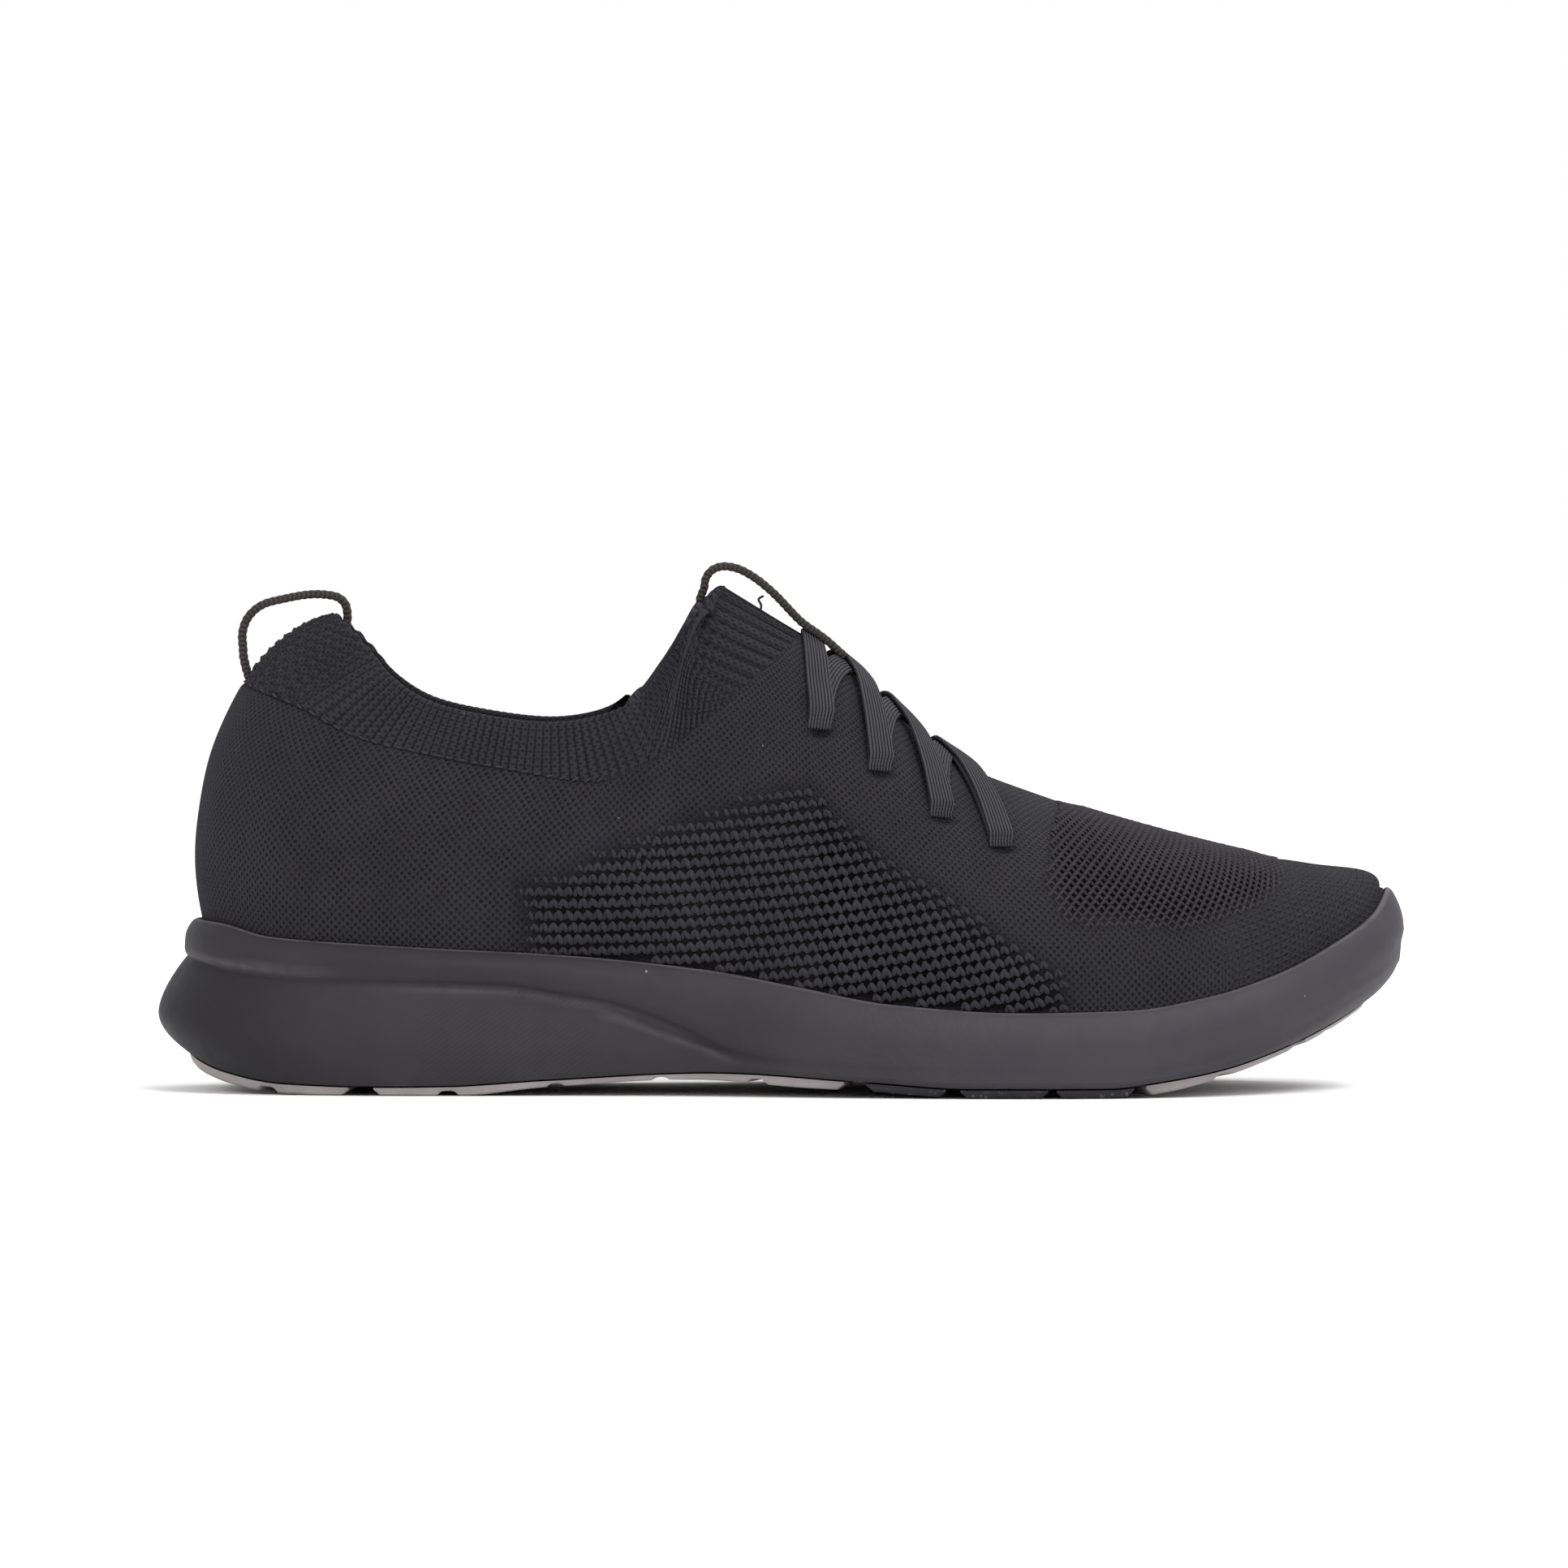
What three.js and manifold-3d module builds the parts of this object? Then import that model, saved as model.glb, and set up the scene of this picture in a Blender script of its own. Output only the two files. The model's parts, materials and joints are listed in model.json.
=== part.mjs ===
// A right-foot slip-on running shoe: knit upper, ribbed collar, elastic lace, foam midsole, rubber outsole.
// Millimetres. The shoe is designed with x running from the heel's back (0) to the toe's tip (LENGTH),
// y towards the foot's inner side and z up from the ground. The whole group is then centred on x and y.
import * as THREE from "three";
import { mergeVertices } from "three/addons/utils/BufferGeometryUtils.js";
import Module from "manifold-3d";

const wasm = await Module();
wasm.setup();

// ---- Driving dimensions -------------------------------------------------------------------------------
const LENGTH = 290;
const GAP = 0.35; // between pieces that are glued or sewn face to face

const KNIT = 2.2; // thickness of the knit upper and collar
const COUNTER = 1.4; // heel counter
const LINING = 1.1; // heel lining
const PADDING = 2.8; // collar foam
const PUFF = 0.9; // toe stiffener
const BACKING = 0.8; // film behind the lace slots
const BOARD = 1.6; // strobel board
const INSOLE = 4; // removable footbed
const BED_GAP = 0.8; // above and below the strobel board
const LAYER_GAP = 0.9; // between the knit and the layers behind it
const LIP_WALL = 1.4; // midsole lip at its rim

const LACE = { width: 6, thick: 1.2, under: 1.2, over: 2.75, dive: 1.5 }; // under and over: above the knit
const TURN = { along: 3.2, spare: 0.3, proud: 0.2 }; // where the lace turns down into a slot
const SLOT = { along: 5.2, across: 7.6, reach: 2 };
const TAPE = { width: 7, thick: 2 }; // pull loop webbing

const LEAN = THREE.MathUtils.degToRad(33);
const FLEX = { x: 207, z: 20.8, lean: LEAN, half: 0.2 }; // the line the toe bends at
const TREAD = { inset: 0.8, width: 21, toeWidth: 12, chamfer: 1.2, thinnest: 0.8, step: 9 };

const HALF = 28; // stations along each side of the outline
const END_DENSITY = 0.06; // how much closer the stations stand at heel and toe
const SPINE = [34, 256]; // where the footprint's centre spine starts and ends
const CURVE_STEPS = 400; // samples along a curve that is read by its length
const MERGE = 1e-4; // vertices closer than this are one
const NEARBY = 0.005; // share of the outline that gives a direction along it

// ---- Curves -------------------------------------------------------------------------------------------
const vec = (x, y, z = 0) => new THREE.Vector3(x, y, z);
const { lerp, smoothstep } = THREE.MathUtils;

// Evenly spaced values, both ends included.
function span(from, to, count) {
  return Array.from({ length: count }, (_, i) => lerp(from, to, i / (count - 1)));
}

// A smooth value against x, through its points without overshoot, and level past both ends.
function profile(...points) {
  const secant = points.slice(1).map(([x, v], i) => (v - points[i][1]) / (x - points[i][0]));
  const slope = points.map((_, i) => {
    const before = secant[i - 1];
    const after = secant[i];
    if (before === undefined) return after;
    if (after === undefined) return before;
    return before * after <= 0 ? 0 : (2 * before * after) / (before + after);
  });
  return (x) => {
    if (x <= points[0][0]) return points[0][1];
    if (x >= points.at(-1)[0]) return points.at(-1)[1];
    const i = points.findIndex(([px], k) => k > 0 && x <= px) - 1;
    const width = points[i + 1][0] - points[i][0];
    const t = (x - points[i][0]) / width;
    const s = 1 - t;
    const ends = points[i][1] * s * s * (1 + 2 * t) + points[i + 1][1] * t * t * (1 + 2 * s);
    return ends + width * (slope[i] * s * s * t - slope[i + 1] * t * t * s);
  };
}

// A curve read by distance along it, from a dense list of its points.
function byLength(points) {
  const at = [0];
  points.slice(1).forEach((p, i) => at.push(at[i] + p.distanceTo(points[i])));
  const length = at.at(-1);
  const point = (s) => {
    const target = Math.min(Math.max(s, 0), length);
    const i = Math.max(1, at.findIndex((v) => v >= target - 1e-9));
    return points[i - 1].clone().lerp(points[i], (target - at[i - 1]) / (at[i] - at[i - 1]));
  };
  return { length, point };
}

// The place in [low, high] where a rising function reaches a value, by halving.
const HALVINGS = 40;
function solve(rising, value, low, high) {
  for (let i = 0; i < HALVINGS; i++) {
    const middle = (low + high) / 2;
    if (rising(middle) < value) low = middle;
    else high = middle;
  }
  return (low + high) / 2;
}

// ---- Footprint: the midsole's widest outline, seen from above -----------------------------------------
const LATERAL = -1;
const MEDIAL = 1;
const LATERAL_EDGE = [
  [4.5, -17], [19, -30.5], [48, -37], [85, -38.5], [122, -41], [158, -47],
  [192, -50.8], [224, -49], [252, -40], [274, -24], [286, -7],
];
const MEDIAL_EDGE = [
  [287, 26], [275, 39.5], [254, 48], [226, 51.8], [197, 51], [165, 45], [130, 37.5],
  [95, 34.5], [60, 36], [22, 31.5], [5, 17.5],
];
const edges = (() => {
  const corners = [[0, 0], ...LATERAL_EDGE, [LENGTH, 10], ...MEDIAL_EDGE];
  const curve = new THREE.CatmullRomCurve3(corners.map(([x, y]) => vec(x, y)), true);
  const tip = (LATERAL_EDGE.length + 1) / corners.length;
  const walk = (from, to) => byLength(span(from, to, CURVE_STEPS + 1).map((t) => curve.getPoint(t)));
  return { [LATERAL]: walk(0, tip), [MEDIAL]: walk(1, tip) };
})();

// The outline's point and outward direction at a share (0 heel, 1 toe) of one side.
function outline(side, share) {
  const at = (s) => {
    if (s < 0) return edges[-side].point(-s * edges[-side].length);
    if (s > 1) return edges[-side].point((2 - s) * edges[-side].length);
    return edges[side].point(s * edges[side].length);
  };
  const along = at(share + NEARBY).sub(at(share - NEARBY)).normalize();
  return { point: at(share), out: vec(-side * along.y, side * along.x) };
}
const insetPoint = (side, share, inset) => {
  const { point, out } = outline(side, share);
  return point.addScaledVector(out, -inset);
};
const shareAt = (side, x) => solve((s) => outline(side, s).point.x, x, 0, 1);

// Stations run once round the outline, heel, outer side, toe, inner side, and stand closer at both ends.
const stationShare = (i) => i / HALF - END_DENSITY * Math.sin((2 * Math.PI * i) / HALF);
const STATIONS = [
  ...Array.from({ length: HALF + 1 }, (_, i) => [LATERAL, stationShare(i)]),
  ...Array.from({ length: HALF - 1 }, (_, i) => [MEDIAL, stationShare(HALF - 1 - i)]),
];

// ---- Heights along the shoe ---------------------------------------------------------------------------
const soleBottom = profile([0, 14], [5, 10.2], [15, 5.5], [30, 2.8], [50, 2.2], [68, 2.4], [90, 3.8],
  [130, 5.7], [165, 3.7], [188, 2.3], [220, 2.3], [231, 3.6], [246, 6.3], [262, 11.5], [279, 19.4],
  [290, 26]);
const treadBottom = profile([0, 13], [5.5, 8.6], [10.5, 4.7], [21, 1.5], [30, 0.3], [40, 0], [70, 0],
  [90, 2], [125, 3.9], [150, 2.3], [165, 1.6], [180, 0.4], [188, 0], [222, 0], [232, 1.1],
  [246, 4.4], [265, 11.3], [278, 17.6], [290, 24]);
const lipTop = profile([0, 39.6], [9, 39], [24, 36.2], [60, 34], [95, 32.2], [127, 29], [148, 25.2],
  [170, 21.3], [200, 19.5], [225, 20], [245, 23.1], [262, 28.2], [276, 34.8], [286, 41], [290, 46.3]);
const footbed = profile([0, 26], [20, 24.5], [60, 23], [107, 20.5], [148, 15], [190, 10.7], [215, 10.5],
  [245, 14], [262, 19], [276, 25.5], [290, 34]);
const groove = profile([0, 31.2], [16, 28], [36, 26.2], [60, 25.6], [80, 25.1], [95, 22.9], [107, 20.8],
  [120, 16.3], [134, 10.6], [150, 8], [190, 6.4], [225, 6.6], [250, 11.4], [275, 21.4], [290, 29]);

// How far each level of the midsole's side wall lies inside the widest outline.
const WALL = {
  bottom: profile([0, 6.5], [30, 4.5], [60, 3.5], [110, 4], [150, 3.2], [205, 3], [250, 4.5],
    [290, 8.5]),
  wedge: profile([0, 0], [30, 0], [60, 0.8], [95, 2.6], [125, 3], [150, 1.6], [200, 1.2], [250, 2],
    [290, 3]),
  groove: profile([0, 6.8], [30, 5], [60, 3.8], [95, 3.6], [130, 3.2], [150, 1.2], [200, 0.9],
    [290, 1.4]),
  ledge: profile([0, 6.1], [30, 4.2], [60, 2.8], [95, 1], [125, 0.6], [150, 0.6], [200, 0.6],
    [290, 0.9]),
  band: profile([0, 6.2], [30, 4.2], [60, 2.6], [95, 0.8], [150, 0.2], [205, 0], [290, 0]),
  lip: profile([0, 8.4], [30, 7], [60, 5.5], [110, 4], [170, 3.2], [250, 3], [290, 3.2]),
};
const WEDGE_LEVELS = [0.12, 0.3, 0.5, 0.75, 1]; // shares of the wedge's height
const WEDGE_PEAK = 0.4; // share of the wedge's height at which it stands out furthest
const LEDGE_RISE = 1.8;
const BAND_LEVELS = [0.45, 0.78]; // shares of the way from the groove to the lip's top
const BAND_TAPER = 0.35; // share of the way in to the lip that the upper band level has gone
const FLOOR_MIDDLE = 0.4; // share of the way from a floor's edge to the spine
const cupInset = (x) => WALL.lip(x) + LIP_WALL;

// ---- Top line of the upper: the collar's rim from heel tab to throat, then the ridge to the toe --------
const RIM_HALF = [ // x, half width, z
  [40.5, 0, 110.3], [41.8, 6, 109.8], [45, 11, 107], [49.5, 15, 102], [54, 18, 96.5], [62, 21.5, 91],
  [75, 25, 87.4], [92, 27, 85.5], [104, 27, 87.6], [113, 25.5, 92.3], [120, 23, 101], [126, 17.5, 109.5],
  [130, 9.5, 115], [131.6, 0, 116.6],
];
const ridgeZ = profile([131.6, 116.6], [143, 109.6], [158, 100.2], [166, 93.4], [173, 86.6], [181, 79.8],
  [190, 74.6], [203, 69.6], [218, 64.6], [241, 58.2], [256, 54.6], [266, 52.7], [275, 52.9], [290, 50]);
const middleY = profile([0, 0], [120, 0.5], [160, 1.5], [220, 4.5], [262, 8.5], [290, 10]);
const THROAT_X = RIM_HALF.at(-1)[0];
const RIDGE_END = 263;

const rim = (() => {
  const medial = RIM_HALF.map(([x, half, z]) => vec(x, half, z));
  const lateral = RIM_HALF.slice(1, -1).map(([x, half, z]) => vec(x, -half, z));
  const curve = new THREE.CatmullRomCurve3([...medial, ...lateral.reverse()], true);
  const throat = (medial.length - 1) / (medial.length + lateral.length);
  return byLength(span(0, throat, CURVE_STEPS + 1).map((t) => curve.getPoint(t)));
})();
const ridge = byLength(span(THROAT_X, RIDGE_END, CURVE_STEPS / 2 + 1).map((x) => vec(x, 0, ridgeZ(x))));

// Share of the outline to distance along the top line. The throat falls exactly on a station.
const THROAT_STATION = 12;
const THROAT_SHARE = stationShare(THROAT_STATION);
const RIM_SHARES = [[0, 0], [0.12, 0.15], [0.28, 0.5], [0.38, 0.8], [THROAT_SHARE, 1]];
const RIDGE_SHARES = [[0.52, 0.16], [0.75, 0.66], [0.9, 0.92], [1, 1]];
const topLength = profile(
  ...RIM_SHARES.map(([share, part]) => [share, part * rim.length]),
  ...RIDGE_SHARES.map(([share, part]) => [share, rim.length + part * ridge.length]),
);
const THROAT_TURN = 30; // length before the throat over which the rim turns into the ridge's direction

// Rim or ridge point of one side, with the line's direction there and the way in towards the foot.
function topLine(side, share) {
  const along = topLength(share);
  const onRim = along <= rim.length;
  const at = onRim ? rim.point(along) : ridge.point(along - rim.length);
  const onward = Math.max(at.x, THROAT_X);
  const rise = ridgeZ(onward + 1) - ridgeZ(onward);
  const ridgeWay = vec(1, 0, rise);
  const rimWay = rim.point(along + 1).sub(rim.point(Math.min(along, rim.length) - 1)).normalize();
  const turned = smoothstep(along, rim.length - THROAT_TURN, rim.length);
  const way = onRim ? rimWay.clone().lerp(ridgeWay, turned) : ridgeWay;
  const inward = onRim ? vec(rimWay.y, -rimWay.x, -1) : vec(0, 0, -1);
  const place = (p) => vec(p.x, side * p.y, p.z);
  const middle = middleY(at.x);
  return { at: place(at).add(vec(0, middle)), way: place(way), inward: place(inward), rise };
}

// ---- The upper's surface ------------------------------------------------------------------------------
const BULGE = profile([0, 6.5], [20, 5.5], [50, 3], [120, 2.5], [150, 3.5], [205, 3], [260, 2],
  [290, 0.8]);
const BULGE_RISE = profile([0, 0.38], [110, 0.38], [150, 0.42], [205, 0.55], [260, 0.7], [290, 0.95]);
const COLLAR_REACH = 0.77; // share of the way out that the curve under the collar's rim is pulled
const CROWN_REACH = 0.42; // the same for the rounded instep
const COLLAR_DROP = profile([0, 0.06], [30, 0.2], [60, 0.28], [110, 0.25], [138, 0]);
const FOLD = [95, 130]; // the collar's wall turns into the instep's crown between these

// A point of the upper. v is 0 at the midsole's lip and 1 on the rim or ridge, and -1 at the footbed;
// depth is how far the point lies inside the upper's outer face.
function upperPoint(side, share, v, depth) {
  const edge = outline(side, share);
  const x = edge.point.x;
  const foot = edge.point.clone().addScaledVector(edge.out, -(cupInset(x) + GAP + depth));
  foot.z = lipTop(x);
  if (v < 0) return foot.setZ(lerp(foot.z, footbed(x) + GAP, -v));
  const top = topLine(side, share);
  const out = foot.clone().sub(top.at).setZ(0);
  const rise = top.at.z - foot.z;
  const collar = top.at.clone().addScaledVector(out, COLLAR_REACH);
  collar.z -= COLLAR_DROP(x) * rise;
  const crown = top.at.clone().addScaledVector(out, CROWN_REACH);
  crown.z += top.rise * out.x * CROWN_REACH;
  const pull = collar.lerp(crown, smoothstep(top.at.x, ...FOLD));
  const inward = top.at.clone().sub(pull).cross(top.way).normalize();
  if (inward.dot(top.inward) < 0) inward.negate();
  const end = top.at.clone().addScaledVector(inward, depth);
  pull.addScaledVector(inward, depth);
  const swell = foot.clone().addScaledVector(edge.out, BULGE(x));
  swell.z += BULGE_RISE(x) * rise;
  return new THREE.CubicBezierCurve3(foot, swell, pull, end).getPoint(v);
}

// A point at a height above the upper's outer face.
const outwardFrom = (side, share, v, height) => {
  const on = upperPoint(side, share, v, 0);
  const below = upperPoint(side, share, v, 1);
  return on.clone().addScaledVector(on.clone().sub(below).normalize(), height);
};

// ---- Closed solids from columns of points -------------------------------------------------------------

// Each column is a closed loop of points, and neighbouring columns are joined by quads. An open run of
// columns is capped at both ends. Where seamless(i) is true, the loop's last side is left out between
// columns i and i + 1, because the other half of the shoe meets it there.
function loft(columns, { ring = true, seamless = () => false } = {}) {
  const size = columns[0].length;
  const index = [];
  const quad = (a, b, c, d) => index.push(a, b, c, a, c, d);
  const spans = ring ? columns.length : columns.length - 1;
  for (let i = 0; i < spans; i++) {
    const here = i * size;
    const next = ((i + 1) % columns.length) * size;
    const sides = seamless(i) ? size - 1 : size;
    for (let k = 0; k < sides; k++) {
      const up = (k + 1) % size;
      quad(here + k, next + k, next + up, here + up);
    }
  }
  if (!ring) {
    const last = (columns.length - 1) * size;
    for (let k = 0; k < size / 2 - 1; k++) {
      quad(k, k + 1, size - 2 - k, size - 1 - k);
      quad(last + k + 1, last + k, last + size - 1 - k, last + size - 2 - k);
    }
  }
  const positions = columns.flat().flatMap((p) => p.toArray());
  const geometry = new THREE.BufferGeometry();
  geometry.setAttribute("position", new THREE.Float32BufferAttribute(positions, 3));
  geometry.setIndex(index);
  return toSolid(geometry);
}

// A geometry's closed surface as a manifold solid, with its faces turned outwards.
function toSolid(geometry) {
  const bare = new THREE.BufferGeometry();
  bare.setAttribute("position", geometry.getAttribute("position"));
  bare.setIndex(geometry.index);
  const merged = mergeVertices(bare, MERGE);
  const position = merged.getAttribute("position").array;
  const triangles = [];
  let volume = 0;
  const [a, b, c] = [vec(0, 0), vec(0, 0), vec(0, 0)];
  for (let i = 0; i < merged.index.count; i += 3) {
    const corners = [0, 1, 2].map((k) => merged.index.array[i + k]);
    if (new Set(corners).size < 3) continue;
    triangles.push(...corners);
    [a, b, c].forEach((p, k) => p.fromArray(position, corners[k] * 3));
    volume += a.dot(b.cross(c));
  }
  const triVerts = Uint32Array.from(volume < 0 ? triangles.reverse() : triangles);
  const vertProperties = Float32Array.from(position);
  return new wasm.Manifold(new wasm.Mesh({ numProp: 3, vertProperties, triVerts }));
}

// The part of a solid on one side of a plane through the bending line, leaning forwards by an angle.
function cutAt(solid, lean, sign, offset) {
  const normal = [sign * Math.cos(lean), 0, -sign * Math.sin(lean)];
  const level = normal[0] * FLEX.x + normal[2] * FLEX.z;
  return solid.trimByPlane(normal, level + offset);
}
const rearOf = (solid) => cutAt(solid, 0, -1, FLEX.half);
const frontOf = (solid) => cutAt(cutAt(solid, 0, 1, FLEX.half), FLEX.lean, 1, FLEX.half);
const flexOf = (solid) => cutAt(cutAt(solid, 0, 1, FLEX.half), FLEX.lean, -1, FLEX.half);

// ---- Midsole and the layers inside it -----------------------------------------------------------------
const boardInset = (x) => cupInset(x) + GAP + KNIT + GAP;
const heelRoom = profile([78, COUNTER + LINING + 2 * LAYER_GAP + GAP], [92, 0]); // for counter and lining
const insoleInset = (x) => boardInset(x) + heelRoom(x);

const spineAt = (i) => {
  const share = STATIONS[i][1];
  const x = (outline(LATERAL, share).point.x + outline(MEDIAL, share).point.x) / 2;
  const clamped = Math.min(Math.max(x, SPINE[0]), SPINE[1]);
  return vec(clamped, middleY(clamped));
};

// A point of a floor: inside the outline by an inset, then a share of the way towards the spine.
const floorPoint = (i, inset, height, towardsSpine = 0) => {
  const p = insetPoint(...STATIONS[i], inset).lerp(spineAt(i), towardsSpine);
  return p.setZ(height(p.x));
};

// A column from the spine under the midsole, up its side wall and over the lip, and back over the footbed.
function midsoleColumn(i) {
  const [side, share] = STATIONS[i];
  const x = outline(side, share).point.x;
  const base = floorPoint(i, WALL.bottom(x), soleBottom);
  const wall = (inset, z) => insetPoint(side, share, inset).setZ(z);
  const wedge = WEDGE_LEVELS.map((f) => {
    const below = Math.max(0, 1 - f / WEDGE_PEAK) ** 2;
    const above = Math.max(0, (f - WEDGE_PEAK) / (1 - WEDGE_PEAK)) ** 1.6;
    const undercut = below * (WALL.bottom(x) - WALL.wedge(x)) + above * (WALL.groove(x) - WALL.wedge(x));
    return wall(WALL.wedge(x) + undercut, lerp(base.z, groove(x), f));
  });
  const [middle, high] = BAND_LEVELS.map((f) => lerp(groove(x), lipTop(x), f));
  return [
    floorPoint(i, 0, soleBottom, 1),
    floorPoint(i, WALL.bottom(x) + TREAD.inset + TREAD.width, soleBottom),
    floorPoint(i, WALL.bottom(x) + TREAD.inset, soleBottom),
    base,
    ...wedge,
    wall(WALL.ledge(x), groove(x) + LEDGE_RISE),
    wall(WALL.band(x), middle),
    wall(lerp(WALL.band(x), WALL.lip(x), BAND_TAPER), high),
    wall(WALL.lip(x), lipTop(x)),
    wall(cupInset(x), lipTop(x)),
    floorPoint(i, cupInset(x), () => footbed(x)),
    floorPoint(i, boardInset(x), () => footbed(x)),
    floorPoint(i, boardInset(x), footbed, FLOOR_MIDDLE),
    floorPoint(i, 0, footbed, 1),
  ];
}

// A layer lying on the footbed, between two heights above it.
function layerColumn(i, insetAt, low, high) {
  const x = outline(...STATIONS[i]).point.x;
  const above = (height) => (at) => footbed(at) + height;
  const edge = (height) => floorPoint(i, insetAt(x), () => footbed(x) + height);
  return [
    floorPoint(i, 0, above(low), 1),
    floorPoint(i, insetAt(x), above(low), FLOOR_MIDDLE),
    edge(low),
    edge(high),
    floorPoint(i, insetAt(x), above(high), FLOOR_MIDDLE),
    floorPoint(i, 0, above(high), 1),
  ];
}
const overFootprint = (column) => loft(STATIONS.map((_, i) => column(i)), { seamless: () => true });

// ---- Outsole pads -------------------------------------------------------------------------------------

// A pad along the sole's edge through a list of [side, share] places.
function treadPad(places, width = TREAD.width) {
  return loft(places.map(([side, share]) => {
    const x = outline(side, share).point.x;
    const outer = WALL.bottom(x) + TREAD.inset;
    const point = (inset, height) => {
      const p = insetPoint(side, share, inset);
      return p.setZ(height(p.x));
    };
    const glued = (at) => soleBottom(at) - GAP;
    const low = (at) => Math.min(treadBottom(at), glued(at) - TREAD.thinnest);
    return [
      point(outer, glued),
      point(outer + width, glued),
      point(outer + width - TREAD.chamfer, low),
      point(outer + TREAD.chamfer, low),
    ];
  }), { ring: false });
}
function alongSide(side, from, to) {
  const count = Math.max(3, Math.ceil((to - from) / TREAD.step) + 1);
  return span(from, to, count).map((x) => [side, shareAt(side, x)]);
}

// Places from an x on the outer side round the heel, or round the toe, to the same x on the inner side.
// They use the shared stations, apart from any that lies closer to the end than END_CLEAR.
const END_CLEAR = 0.01;
const innerShares = span(1, HALF - 1, HALF - 1).map(stationShare);
const onSide = (side, shares) => shares.map((share) => [side, share]);
function aroundHeel(to) {
  const half = (side) => {
    const end = shareAt(side, to);
    return onSide(side, [...innerShares.filter((share) => share < end - END_CLEAR), end]);
  };
  return [...half(LATERAL).reverse(), [LATERAL, 0], ...half(MEDIAL)];
}
function aroundToe(from) {
  const half = (side) => {
    const end = shareAt(side, from);
    return onSide(side, [end, ...innerShares.filter((share) => share > end + END_CLEAR)]);
  };
  return [...half(LATERAL), [LATERAL, 1], ...half(MEDIAL).reverse()];
}

// ---- Knit upper, ribbed collar and what backs them ----------------------------------------------------

// A sheet between two depths over [side, share] places, its rows given for each place.
function sheet(places, rowsAt, outer, inner, options = { ring: false }) {
  return loft(places.map(([side, share]) => {
    const rows = rowsAt(side, share);
    return [
      ...rows.map((v) => upperPoint(side, share, v, outer)).reverse(),
      ...rows.map((v) => upperPoint(side, share, v, inner)),
    ];
  }), options);
}

// The stitched seam between upper and ribbed collar: its height against x. It ends on the ridge.
const seamZ = profile([19, 95.4], [21, 94], [27, 91.7], [34.5, 88.6], [42, 84.4], [50, 81.2], [61, 78.8],
  [80, 75.3], [102, 72.3], [112, 75], [127, 86], [140, 97], [152, 107]);
const seamRow = (side, share, shift) => {
  const above = (v) => {
    const p = upperPoint(side, share, v, 0);
    return p.z - seamZ(p.x) - shift;
  };
  return above(1) <= 0 ? 1 : solve(above, 0, 0, 1);
};
const NARROWEST = 0.93; // the seam's highest row at which the collar is still wide enough to end on
const COLLAR_END = STATIONS.slice(0, HALF).findLastIndex((place) => seamRow(...place, 0) < NARROWEST);
const COLLAR_TIP = 0.9; // how far past its last station the collar's point reaches, in stations
const SAME_SHARE = 1e-6;
const COLLAR_ROWS = [0, 0.2, 0.4, 0.6, 0.8, 1];
const UPPER_ROWS = [-1, 0, 0.15, 0.3, 0.42, 0.54, 0.66, 0.78, 0.89, 1];

function ribbedCollar() {
  const tip = lerp(stationShare(COLLAR_END), stationShare(COLLAR_END + 1), COLLAR_TIP);
  const half = (side) => onSide(side, [...span(1, COLLAR_END, COLLAR_END).map(stationShare), tip]);
  const places = [...half(LATERAL).reverse(), STATIONS[0], ...half(MEDIAL)];
  const rowsAt = (side, share) => {
    const last = lerp(seamRow(side, stationShare(COLLAR_END), 0), 1, COLLAR_TIP);
    const low = share === tip ? last : seamRow(side, share, 0);
    return COLLAR_ROWS.map((v) => lerp(low, 1, v));
  };
  const seamless = (i) => Math.min(places[i][1], places[i + 1][1]) >= THROAT_SHARE - SAME_SHARE;
  return sheet(places, rowsAt, 0, KNIT, { ring: false, seamless });
}

function knitUpper() {
  const rowsAt = (side, share) => {
    const top = share > stationShare(COLLAR_END) + SAME_SHARE ? 1 : seamRow(side, share, -2 * GAP);
    return UPPER_ROWS.map((v) => (v < 0 ? v : v * top));
  };
  const shareOf = (i) => STATIONS[i % STATIONS.length][1];
  const seamless = (i) => Math.min(shareOf(i), shareOf(i + 1)) > stationShare(COLLAR_END) + SAME_SHARE;
  return sheet(STATIONS, rowsAt, 0, KNIT, { seamless }).subtract(laceSlots());
}

// ---- Lace ---------------------------------------------------------------------------------------------
const EYELETS = [[153.7, 84.8], [167.8, 75.4], [181.9, 64.7], [195.6, 57.9]]; // x and z, top to bottom
const INSTEP = [0.3, 0.9]; // shares between which the eyelets lie
const STRAND_STEPS = 10;
const STRAND_DELTA = 0.02; // share of a strand on each side of a point that gives its direction there

// The share and row of the upper at which one side has a given x and z.
function findOnUpper(side, x, z) {
  const rowAt = (share) => solve((v) => upperPoint(side, share, v, 0).z, z, 0, 1);
  const share = solve((s) => upperPoint(side, s, rowAt(s), 0).x, x, ...INSTEP);
  return { share, v: rowAt(share) };
}
const eyelets = EYELETS.map(([x, z]) => findOnUpper(LATERAL, x, z));

// A place across the instep: reach is -1 at the outer eyelet, 0 on the ridge and 1 at the inner eyelet.
function acrossInstep(from, to, t, height) {
  const share = lerp(from.share, to.share, t);
  const reach = lerp(-(1 - from.v), 1 - to.v, t);
  return outwardFrom(reach < 0 ? LATERAL : MEDIAL, share, 1 - Math.abs(reach), height);
}

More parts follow.
